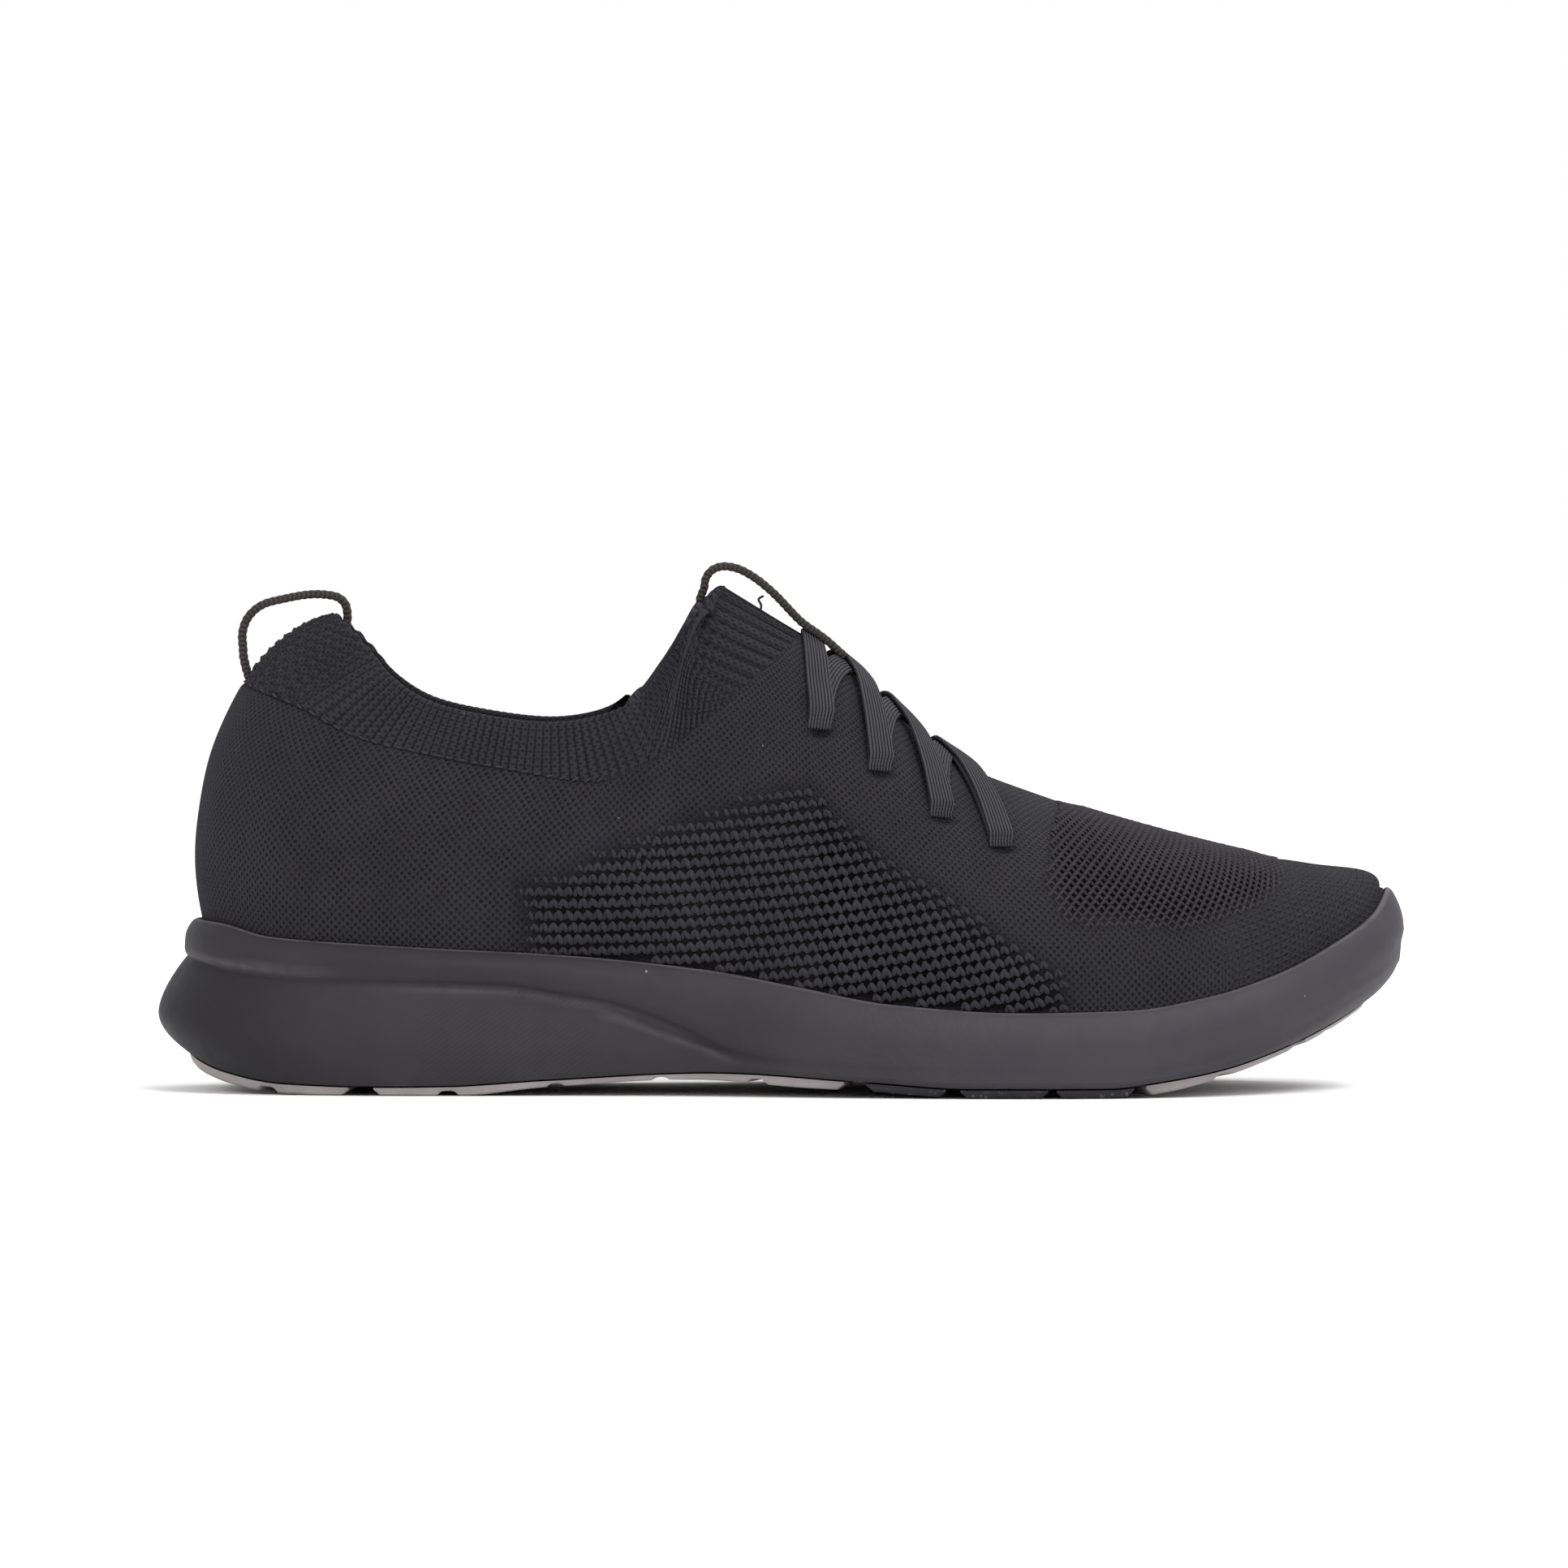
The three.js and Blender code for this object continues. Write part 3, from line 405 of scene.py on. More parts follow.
def inside(polygon, x, z):
    """Signed distance into a polygon: positive inside it."""
    corners = np.array(polygon, float)
    best = np.full(np.shape(x), np.inf)
    odd = np.zeros(np.shape(x), bool)
    for a, b in zip(corners, np.roll(corners, -1, axis=0)):
        way = b - a
        t = np.clip(((x - a[0]) * way[0] + (z - a[1]) * way[1]) / (way @ way), 0, 1)
        best = np.minimum(best, np.hypot(x - a[0] - t * way[0], z - a[1] - t * way[1]))
        crosses = (a[1] > z) != (b[1] > z)
        at = a[0] + (z - a[1]) * way[0] / (way[1] if way[1] else 1)
        odd ^= crosses & (x < at)
    return np.where(odd, best, -best)


# ---- Meshes ----
WELD = 2e-6
FOREFOOT_BEND = ("forefoot", *(tuple(end) for end in in_row([[x, 0, FLEX_Z] for x in BEND])))


def loft(n, m, ring=True, skip=None):
    """Quads joining n neighbouring closed loops of m points. skip marks quads that are left out."""
    i = np.arange(n if ring else n - 1)[:, None]
    k = np.arange(m)[None]
    after, up = (i + 1) % n, (k + 1) % m
    quads = np.stack([i * m + k, after * m + k, after * m + up, i * m + up], -1)
    return (quads[~skip] if skip is not None else quads.reshape(-1, 4)).tolist()


def bowl(n, m):
    """A ring of loops whose first and last points aren't joined: both lie on the spine."""
    return [f for f in loft(n, m) if {f[0] % m, f[3] % m} != {0, m - 1}]


def tube(n, m):
    """A run of loops, closed by one face at each end."""
    return loft(n, m, ring=False) + [list(range(m)), list(range((n - 1) * m, n * m))]


def folded(n, m):
    """A run of loops whose second half runs back beside the first, closed by strips of quads."""
    faces = loft(n, m, ring=False)
    for k in range(m // 2 - 1):
        quad = [k, k + 1, m - 2 - k, m - 1 - k]
        faces += [quad, [(n - 1) * m + corner for corner in quad]]
    return faces


def add_piece(name, points, faces, material, fields, nodes=(), body="root", bend=None, smooth=True):
    """Makes one piece from design points, with a value of each field at every point. When bend is given (a
    body with two places between which the piece would bend), the piece is only baked in place and left
    unattached; nothing bends it."""
    points = np.asarray(points, float)
    mesh = bpy.data.meshes.new(name)
    mesh.from_pydata(in_row(points).reshape(-1, 3).tolist(), [], faces)
    for key, values in fields.items():
        kind, socket, shape = "FLOAT", "value", points.shape[:-1]
        if key == "cloth":
            kind, socket, shape = "FLOAT_VECTOR", "vector", points.shape
        layer = mesh.attributes.new(key, kind, "POINT")
        layer.data.foreach_set(socket, np.broadcast_to(values, shape).astype(np.float32).ravel())
    clean = bmesh.new()
    clean.from_mesh(mesh)
    bmesh.ops.remove_doubles(clean, verts=clean.verts, dist=WELD)
    bmesh.ops.dissolve_degenerate(clean, edges=clean.edges, dist=WELD)
    bmesh.ops.recalc_face_normals(clean, faces=clean.faces)
    clean.to_mesh(mesh)
    clean.free()
    mesh.polygons.foreach_set("use_smooth", np.full(len(mesh.polygons), smooth))
    mesh.materials.append(material)
    mesh.update()
    piece = bpy.data.objects.new(name, mesh)
    bpy.context.scene.collection.objects.link(piece)
    if bend:
        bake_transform(piece)
    else:
        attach(piece, body)
    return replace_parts(piece, *nodes) if nodes else piece


# ---- Materials ----
# The dark and the light tone of each, as screen values of 0 to 255.
TONES = {
    "knit_yarn": [(32, 31, 36), (51, 49, 56)],
    "rib_knit": [(34, 33, 38), (54, 52, 59)],
    "link_yarn": [(37, 36, 41), (58, 56, 63)],
    "mesh_yarn": [(39, 37, 43), (60, 57, 64)],
    "seam_thread": [(42, 40, 46), (66, 64, 70)],
    "lace_elastic": [(49, 49, 53), (68, 68, 73)],
    "loop_webbing": [(46, 42, 41), (74, 68, 66)],
    "lining_jersey": [(34, 33, 38), (52, 50, 56)],
    "collar_jersey": [(34, 33, 38), (54, 52, 58)],
    "insole_jersey": [(42, 41, 46), (64, 62, 68)],
    "midsole_foam": [(42, 40, 45), (48, 46, 51)],
    # The heel band's darker tone and the front band's lighter tone are painted shade and painted light: the
    # foam is made lighter towards the toe.
    "foam_heel_band": [(37, 35, 40), (43, 41, 46)],
    "foam_front_band": [(50, 48, 54), (56, 53, 59)],
    "taupe_rubber": [(136, 129, 130), (148, 141, 142)],
    "dark_rubber": [(38, 36, 41), (44, 42, 47)],
    "board_fibre": [(132, 128, 122), (168, 164, 157)],
    "stiffener_fibre": [(44, 42, 46), (60, 58, 62)],
    "film_fibre": [(40, 38, 43), (54, 52, 57)],
    "studio_white": [(255, 255, 255)] * 2,
}


def colour(*screen):
    """Linear colour from red, green and blue screen values of 0 to 255."""
    return (*(((c / 255 + 0.055) / 1.055) ** 2.4 if c > 10 else c / 255 / 12.92 for c in screen), 1)


FLECK, GAP_SHADE = colour(132, 129, 130), colour(6, 6, 10)
# The first foam colour is painted shade for the heel's back end.
FOAM_HEEL_SHADE, FOAM_WEAR_AND_HIGHLIGHT, FOAM_GLUE, FOAM_SPECK = (
    colour(29, 27, 32), colour(80, 77, 82), colour(22, 21, 25), colour(120, 116, 118),
)
RUBBER_SCUFF = colour(150, 145, 146)
HATCH_ANGLE, HATCH_PITCH = math.radians(35), 0.95


def tones(name):
    return [colour(*tone) for tone in TONES[name]]


class Shader:
    """A material's nodes, with short calls for the kinds that these materials use."""

    def __init__(self, name, roughness, specular, sheen=0.0):
        self.material = bpy.data.materials.new(name)
        self.material.use_nodes = True
        self.tree = self.material.node_tree
        self.surface = self.tree.nodes["Principled BSDF"]
        self.dark, self.light = tones(name)
        self.feed(self.surface, {"Roughness": roughness, "Specular IOR Level": specular,
                                 "Sheen Weight": sheen, "Sheen Roughness": 0.5})

    def feed(self, node, values):
        """Links each value to the input it names, or sets it there if it is a constant."""
        for key, value in values.items():
            if isinstance(value, bpy.types.NodeSocket):
                self.tree.links.new(value, node.inputs[key])
            else:
                node.inputs[key].default_value = value

    def node(self, kind, values, **settings):
        node = self.tree.nodes.new(f"ShaderNode{kind}")
        for key, value in settings.items():
            setattr(node, key, value)
        self.feed(node, values)
        return node.outputs

    def math(self, operation, *values):
        return self.node("Math", dict(enumerate(values)), operation=operation)[0]

    def add(self, a, b):
        return self.math("ADD", a, b)

    def times(self, a, b):
        return self.math("MULTIPLY", a, b)

    def wave(self, value, pitch):
        """The cosine of a length, with the given pitch."""
        return self.math("COSINE", self.times(value, 2 * math.pi / pitch))

    def steps(self, value, low, high, bottom=0.0, top=1.0):
        values = dict(enumerate((value, low, high, bottom, top)))
        return self.node("MapRange", values, interpolation_type="SMOOTHSTEP")[0]

    def field(self, name):
        return self.node("Attribute", {}, attribute_name=name)["Fac"]

    def parts(self, vector):
        return tuple(self.node("SeparateXYZ", {0: vector}))

    def cloth(self):
        return self.parts(self.node("Attribute", {}, attribute_name="cloth")["Vector"])

    def noise(self, vector, scale, detail=2.0, rough=0.5):
        values = {"Vector": vector, "Scale": scale, "Detail": detail, "Roughness": rough}
        return self.node("TexNoise", values)["Fac"]

    def cells(self, vector, scale):
        return self.node("TexVoronoi", {"Vector": vector, "Scale": scale})["Distance"]

    def place(self):
        """Where a point of the piece is, in metres."""
        return self.node("TexCoord", {})["Object"]

    def mix(self, share, a, b, kind="RGBA"):
        return self.node("Mix", {"Factor": share, "A": a, "B": b}, data_type=kind)["Result"]

    def finish(self, tint, height=None, depth=0.0003, rough=None):
        self.feed(self.surface, {"Base Color": tint})
        if rough is not None:
            self.feed(self.surface, {"Roughness": rough})
        if height is not None:
            bump = self.node("Bump", {"Distance": depth, "Strength": 1.0, "Height": height})
            self.feed(self.surface, {"Normal": bump["Normal"]})
        return self.material


def yarn_colours(s, shade):
    """Yarn between its tones: mottled over the piece, flecked with tiny pale fibres, darkened by shade."""
    place = s.place()
    patches = s.steps(s.noise(place, 60, 3), 0.3, 0.7)
    fibres = s.noise(place, 2600, 2, 0.7)
    yarn = s.mix(s.add(s.times(patches, 0.22), s.times(fibres, 0.7)), s.dark, s.light)
    fleck = s.steps(s.cells(place, 210), 0.045, 0.02)
    rare = s.steps(s.noise(place, 75, 0), 0.66, 0.7)
    return s.mix(shade, s.mix(s.times(fleck, rare), yarn, FLECK), GAP_SHADE)


def knit_height(s, across, up, wale, course):
    """Stitches as small slanted loops in columns, with painted shade in the gap between neighbours: (height,
    gap).
    """
    lean = s.math("PINGPONG", across, wale / 2)
    chevron = s.wave(s.add(up, s.times(lean, 1.1)), course)
    column = s.wave(across, wale)
    gap = s.steps(s.times(s.wave(across, wale * 2), s.wave(up, course * 2)), 0.12, 0.72)
    loops = s.add(s.times(chevron, 0.3), s.times(column, -0.16))
    return s.math("SUBTRACT", loops, s.times(gap, 0.9)), gap


def upper_material():
    s = Shader("knit_yarn", 0.92, 0.08, 0.04)
    across, up, _ = s.cloth()

    def sway(scale, detail, size):
        return s.times(s.add(s.noise(s.place(), scale, detail), -0.5), size)

    up = s.add(up, sway(160, 2, 0.9))
    across = s.add(s.add(across, sway(210, 1, 0.7)), sway(850, 1, 0.55))
    body, body_gap = knit_height(s, across, up, 0.95, 0.95)
    toe, toe_gap = knit_height(s, across, up, 1.4, 0.85)
    toe_row = s.steps(s.wave(up, 1.7), 0.35, 1.0)
    front = s.field("toe")
    height = s.mix(front, body, s.math("SUBTRACT", toe, s.times(toe_row, 0.5)), "FLOAT")
    # Painted shade in the gaps between stitches and along the toe's rows.
    gap = s.mix(front, body_gap, s.add(s.times(toe_gap, 0.5), s.times(toe_row, 0.42)), "FLOAT")
    patchy = s.steps(s.noise(s.place(), 260, 2), 0.25, 0.75, 0.62, 1.0)
    # Painted shade under the links and mesh bars, and painted shadow in the eyelet slots.
    under = s.math("MAXIMUM", s.field("open"), s.field("slot"))
    shade = s.math("MAXIMUM", s.times(gap, s.times(patchy, 0.95)), s.times(under, 0.93))
    return s.finish(yarn_colours(s, shade), height, 0.0004)


def knot_material(name):
    s = Shader(name, 0.9, 0.1, 0.04)
    along, across, lift = s.cloth()
    twist = s.wave(s.add(along, s.times(across, 0.8)), 0.42)
    shade = s.steps(lift, 0.35, -0.25)
    return s.finish(yarn_colours(s, s.times(shade, 0.9)), s.times(twist, 0.5), 0.00012)


def rib_material():
    s = Shader("rib_knit", 0.93, 0.08, 0.04)
    across, along, _ = s.cloth()
    fine, gap = knit_height(s, across, along, 0.8, 0.85)
    shade = s.math("MAXIMUM", s.times(s.field("groove"), 0.86), s.times(gap, 0.55))
    return s.finish(yarn_colours(s, shade), fine, 0.00034)


def lace_material():
    s = Shader("lace_elastic", 0.8, 0.16, 0.03)
    across, along, _ = s.cloth()
    # line marks painted shade in the grooves between the ribs; it also lowers the bump there.
    line = s.steps(s.wave(across, LACE_WIDTH / 8), 0.0, 0.8)
    picks = s.wave(s.add(along, s.times(s.wave(across, LACE_WIDTH / 4), 0.12)), 0.5)
    height = s.add(s.times(picks, 0.3), s.times(line, -0.9))
    return s.finish(yarn_colours(s, s.times(line, 0.93)), height, 0.0002)


def tape_material():
    s = Shader("loop_webbing", 0.88, 0.12, 0.04)
    across, along, _ = s.cloth()
    braid = s.math("PINGPONG", across, 0.9)
    twill = s.wave(s.add(along, s.times(braid, 1.1)), 1.1)
    shade = s.times(s.steps(twill, -0.2, -1.0), 0.6)
    return s.finish(yarn_colours(s, shade), twill, 0.00022)


def cloth_material(name, pitch, depth=0.00018):
    """Plain fine jersey, for linings, laid out by where it is."""
    s = Shader(name, 0.94, 0.1, 0.05)
    across, up, _ = s.cloth()
    height, gap = knit_height(s, across, up, pitch, pitch * 0.9)
    # Painted shade in the gaps between stitches.
    return s.finish(yarn_colours(s, s.times(gap, 0.5)), height, depth)


def foam_material():
    s = Shader("midsole_foam", 0.62, 0.2)
    place = s.place()
    x, _, z = s.parts(place)
    broad = s.steps(s.noise(place, 35, 3), 0.3, 0.7)
    # Painted shade: the lower wall darker towards the heel's back end.
    low = s.mix(s.steps(x, -0.13, -0.085), FOAM_HEEL_SHADE, s.mix(broad, s.dark, s.light))
    # Painted light along the shoe: the band darker at the heel and lighter towards the toe.
    heel_band, front_band = (s.mix(broad, *tones(f"foam_{part}_band")) for part in ("heel", "front"))
    tint = s.mix(s.field("band"), low, s.mix(s.steps(x, -0.05, 0.055), heel_band, front_band))
    # Lighter foam where the worn field is set: wear on the lip, and painted highlight on the edges and the
    # second ridge.
    wear_and_highlight_patches = s.steps(s.noise(place, 170, 4), 0.22, 0.6, 0.35, 1.0)
    tint = s.mix(s.times(s.field("worn"), wear_and_highlight_patches), tint, FOAM_WEAR_AND_HIGHLIGHT)
    tint = s.mix(s.times(s.field("glue"), s.steps(s.noise(place, 900, 2), 0.42, 0.6)), tint, FOAM_GLUE)
    speck = s.steps(s.cells(place, 120), 0.05, 0.025)
    rare = s.steps(s.noise(place, 55, 0), 0.64, 0.68)
    tint = s.mix(s.times(speck, rare), tint, FOAM_SPECK)
    slanted = s.add(s.times(x, 1000 * math.sin(HATCH_ANGLE)), s.times(z, -1000 * math.cos(HATCH_ANGLE)))
    hatch = s.times(s.wave(slanted, HATCH_PITCH), s.field("hatch"))
    creased = s.times(s.add(s.cells(place, 900), s.noise(place, 520, 4, 0.6)), s.field("grain"))
    height = s.add(s.times(hatch, 0.35), s.times(s.noise(place, 2400, 2, 0.6), 0.22))
    height = s.add(height, s.times(creased, 0.75))
    rough = s.add(s.times(s.noise(place, 300, 3), 0.22), 0.5)
    return s.finish(tint, height, 0.00013, rough)


def rubber_material(name):
    s = Shader(name, 0.6, 0.25)
    place = s.place()
    broad = s.steps(s.noise(place, 90, 3), 0.3, 0.7)
    scuffs = s.steps(s.noise(place, 700, 4, 0.7), 0.56, 0.7)
    scuffed = s.times(scuffs, s.add(s.times(s.field("worn"), 0.55), 0.12))
    tint = s.mix(scuffed, s.mix(broad, s.dark, s.light), RUBBER_SCUFF)
    return s.finish(tint, s.noise(place, 1600, 3, 0.6), 0.0001, s.add(s.times(broad, 0.18), 0.48))


def board_material(name):
    """Non-woven board and stiffener sheet: pressed fibres."""
    s = Shader(name, 0.88, 0.25)
    fibres = s.noise(s.place(), 1500, 5, 0.75)
    return s.finish(s.mix(s.steps(fibres, 0.35, 0.65), s.dark, s.light), fibres, 0.0002)


knit_yarn, rib_yarn, lace_yarn, tape_yarn = upper_material(), rib_material(), lace_material(), tape_material()
link_yarn, mesh_yarn, thread = (knot_material(name) for name in ("link_yarn", "mesh_yarn", "seam_thread"))
lining_cloth = cloth_material("lining_jersey", 0.7)
pad_cloth = cloth_material("collar_jersey", 0.75)
insole_cloth = cloth_material("insole_jersey", 0.8, 0.00012)
foam = foam_material()
RUBBER = {name: rubber_material(name) for name in ("taupe_rubber", "dark_rubber")}
board_fibre, stiff_fibre, film_fibre = (
    board_material(name) for name in ("board_fibre", "stiffener_fibre", "film_fibre")
)

# ---- Zones of the knit, on the outer side: x and z ----
COARSE = [
    (84, 49), (86, 30), (130, 20), (205, 12), (211, 20.5), (208, 29), (191, 40.2), (180, 47.8),
    (170.6, 53.4), (159.3, 62.8), (151.8, 71.3), (144.3, 71.3), (133, 67.5), (121.7, 63.8),
    (112.3, 59.1), (102.9, 56.2), (93.5, 50.6),
]
VAMP = [
    (213, 74), (208.5, 60), (206.5, 49), (211, 41), (236.4, 39.6), (255, 44.4), (261, 50), (257, 60),
    (241, 66), (222, 72),
]
COARSE_FADE, VAMP_FADE = 4, 3.5
EYELETS = [(153.7, 84.8), (167.8, 75.4), (181.9, 64.7), (195.6, 57.9)]
eyelet_share, eyelet_row = find_on_upper(*np.array(EYELETS).T)


def zone(polygon, points, fade):
    return smoothstep(inside(polygon, points[..., 0], points[..., 2]), -fade, fade)


def join_round(lateral, medial):
    """One side's columns and then the other's, back to the heel, without a column twice."""
    return np.concatenate([lateral, medial[-2:0:-1]])


def meet(grids, side, past):
    """Moves a side's ridge points, outer and inner, halfway to the other side's, where past is set."""
    for face, row in ((0, -1), (1, 0)):
        middle = (grids[LATERAL][face][:, row] + grids[MEDIAL][face][:, row]) / 2
        grids[side][face][past, row] = middle[past]


# ---- Knit upper ----
UPPER_COLUMNS = 330
UPPER_OUT = np.concatenate([[-1, -0.4], np.linspace(0, 1, 84)])
UPPER_IN = np.concatenate([np.linspace(1, 0, 15), [-0.4, -1]])
TUCK = 1.2  # how far the upper reaches up behind the collar's lower edge
UNTUCKED = 0.999  # the seam row from which a column reaches the ridge in front of the collar
COARSE_SINK, VAMP_SINK, TUCK_SINK = 0.6, 0.42, 0.65
SLOT_REACH, SLOT_DROP = np.array([3.7, 1.9, 1.8]), 0.008
COARSE_SHADE, VAMP_SHADE = 0.82, 0.95
upper_shares = np.linspace(0, 1, UPPER_COLUMNS + 1)
seam_shares = {side: seam_row(side, upper_shares) for side in SIDES}


def upper_side(side):
    """The outer face, the inner face, the length up each column and the fields of one side."""
    share, seam = upper_shares[:, None], seam_shares[side][:, None]
    tucked = seam < UNTUCKED
    top = np.where(tucked, np.minimum(seam_row(side, upper_shares, TUCK), 1)[:, None], 1)
    rows, inner_rows = (np.where(grid < 0, grid, grid * top) for grid in (UPPER_OUT[None], UPPER_IN[None]))
    plain, normal = surface(side, share, rows, np.zeros(rows.shape))
    twin = upper_point(LATERAL, share, rows, 0)  # the outer side's place decides the zone on both sides
    x, z = twin[..., 0], twin[..., 2]
    coarse, vamp = zone(COARSE, twin, COARSE_FADE), zone(VAMP, twin, VAMP_FADE)
    slot = np.zeros(rows.shape)
    for s0, v0 in zip(eyelet_share, eyelet_row):
        off = (plain - upper_point(side, s0, v0 - SLOT_DROP, 0)) / SLOT_REACH
        slot = np.maximum(slot, np.exp(-((off**2).sum(-1)) ** 2))
    wrinkle = 0.16 * np.sin(x / 7.5 + z / 11) * np.sin(z / 6.5 + 1.3)
    wrinkle *= np.where(tucked, 1, smoothstep(1 - rows, 0, 0.06))
    behind = 0.02 * (1 - smoothstep(plain[..., 0], 100, 112))
    # In front of the collar the whole knit lies as low as it does behind the collar's edge.
    tuck = np.where(tucked, smoothstep(rows, seam - behind, top + 1e-6), 1)
    height = wrinkle - COARSE_SINK * coarse - VAMP_SINK * vamp - slot - TUCK_SINK * tuck
    outer = plain + normal * np.where(rows <= 0, 0, height)[..., None]
    steps = np.cumsum(np.linalg.norm(np.diff(plain, axis=1), axis=2), 1)
    arc = np.concatenate([np.zeros((len(share), 1)), steps], 1)
    arc -= arc[:, 2:3]
    fields = {
        # Painted shade over the open-work zones under the raised links and mesh bars, and painted shadow in
        # the eyelet slots; the slots are dented too.
        "open": np.maximum(coarse * COARSE_SHADE, vamp * VAMP_SHADE),
        "slot": slot,
        "toe": smoothstep(x + 0.35 * (z - 30), 236, 262) * (1 - vamp),
    }
    return outer, upper_point(side, share, inner_rows, KNIT), arc, fields


def make_upper():
    sides = {side: upper_side(side) for side in SIDES}
    mean = (sides[LATERAL][2][:, -1] + sides[MEDIAL][2][:, -1]) / 2
    past = {side: seam_shares[side] >= UNTUCKED for side in SIDES}
    loops, all_fields = [], []
    for side in SIDES:
        outer, inner, arc, fields = sides[side]
        meet(sides, side, past[side])
        fix = np.where(past[side], mean - arc[:, -1], 0)[:, None] * smoothstep(UPPER_OUT, 0.55, 1)[None]
        cloth = stack(upper_shares[:, None] * EDGES[LATERAL].length, arc + fix, 0)
        back = np.broadcast_to(cloth[:, -1:, :], inner.shape).copy()
        back[..., 1] = inner[..., 2]
        plain_back = np.zeros(inner.shape[:2])
        fields = {key: np.concatenate([values, plain_back], 1) for key, values in fields.items()}
        fields["cloth"] = np.concatenate([cloth, back], 1)
        loops.append(np.concatenate([outer, inner], 1))
        all_fields.append(fields)
    ring = join_round(*loops)
    fields = {key: join_round(*(fields[key] for fields in all_fields)) for key in all_fields[0]}
    ring_past = join_round(past[LATERAL], past[LATERAL])
    n, m = ring.shape[:2]
    skip = np.zeros((n, m), bool)
    skip[ring_past & np.roll(ring_past, -1), len(UPPER_OUT) - 1] = True
    add_piece("upper_knit", ring, loft(n, m, skip=skip), knit_yarn, fields,
              ("knit_upper", "knit_upper_flex", "knit_upper_toe"), bend=FOREFOOT_BEND)


make_upper()


# ---- Raised stitches ----
KNOT_RINGS = 4


def unit_knot(segments):
    """A ball of radius 1 as points and faces, whose poles lie along x."""
    angle = np.arange(segments) * 2 * math.pi / segments
    points = [(-1, 0, 0)]
    for level in np.linspace(-1, 1, KNOT_RINGS + 2)[1:-1]:
        radius = math.sqrt(1 - level * level)
        points += [(level, radius * math.cos(a), radius * math.sin(a)) for a in angle]
    points.append((1, 0, 0))
    faces = []
    for k in range(segments):
        right = (k + 1) % segments
        faces.append([0, 1 + right, 1 + k])
        for r in range(KNOT_RINGS - 1):
            low, high = 1 + r * segments, 1 + (r + 1) * segments
            faces.append([low + k, low + right, high + right, high + k])
        last = 1 + (KNOT_RINGS - 1) * segments
        faces.append([last + k, last + right, len(points) - 1])
    return np.array(points), faces


def make_knots(name, places, size, material, segments=6, bend=FOREFOOT_BEND):
    """Small stitches on the upper: places are (side, share, row, height, way along, scale, turn)."""
    ball, ball_faces = unit_knot(segments)
    local = ball * np.array(size) / 2
    points, faces, cloth = [], [], []
    for side, share, row, height, along, scale, turn in places:
        centre, normal = surface(side, share, row, height)
        across = unit(np.cross(normal, along))
        ahead = unit(np.cross(across, normal))
        down = across * side
        cos, sin = (np.reshape(f(turn), (-1, 1)) for f in (np.cos, np.sin))
        ahead, across = ahead * cos - down * sin, across * cos + ahead * sin * side
        for i in range(len(centre)):
            base = len(points) * len(ball)
            x, y, z = np.split(local * scale[i], 3, axis=1)
            points.append(centre[i] + x * ahead[i] + y * across[i] + z * normal[i])
            cloth.append(local / np.array([1, 1, size[2] / 2]))
            faces += [[base + k for k in face] for face in ball_faces]
    add_piece(name, np.concatenate(points), faces, material, {"cloth": np.concatenate(cloth)},
              bend=bend)


def direction(side, share, row, step=0.003):
    return unit(upper_point(side, share + step, row, 0) - upper_point(side, share - step, row, 0))


LINK_ROWS, LINK_PITCH, LINK_RISE = 2.75, 2.25, 0.00105
LINK_SIZE = (1.4, 2.7, 1.6)
LINK_OFF, LINK_LEAN, LINK_LIFT = 0.44, 0.5, 0.14  # half a link from its chain's middle: along, turned and up


def make_links():
    """Chains of rounded links over the midfoot, in rows that climb a little towards the toe."""
    k = np.arange(-8, 24)[:, None]
    x = 80 + LINK_PITCH * np.arange(64)[None] + (k % 2) * LINK_PITCH / 2
    z = 14 + LINK_ROWS * k + LINK_RISE * (x - 90) ** 2
    edge = inside(COARSE, x, z)
    keep = (edge > -0.4) & (z > lip_top(x) + 0.6)
    x, z, edge = x[keep], z[keep], edge[keep]
    inner = smoothstep(edge, -0.4, 8)
    share, row = find_on_upper(x, z)
    ahead = find_on_upper(x + 1, z + 2 * LINK_RISE * (x - 90))
    rng = np.random.default_rng(7)
    places = []
    for side in SIDES:
        along = unit(upper_point(side, *ahead, 0) - upper_point(side, share, row, 0))
        for lean in (1, -1):
            scale = lerp(0.8, 1, inner) * (1 + rng.uniform(-0.1, 0.1, len(x)))
            lift = lerp(-0.85, -0.3, inner) + LINK_LIFT * lean + rng.uniform(-0.14, 0.14, len(x))
            off = share + LINK_OFF * lean / EDGES[side].length
            turn = LINK_LEAN * lean + rng.uniform(-0.2, 0.2, len(x))
            places.append((side, off, row, lift, along, scale, turn))
    make_knots("knit_links", places, LINK_SIZE, link_yarn, segments=7)


BAR_PITCH, BAR_COURSE = 2.4, 1.4
BAR_SIZE = (2.45, 0.86, 0.9)
THIN_BAR = 0.8
BAR_LIFT, BAR_SINK = -0.2, 0.55


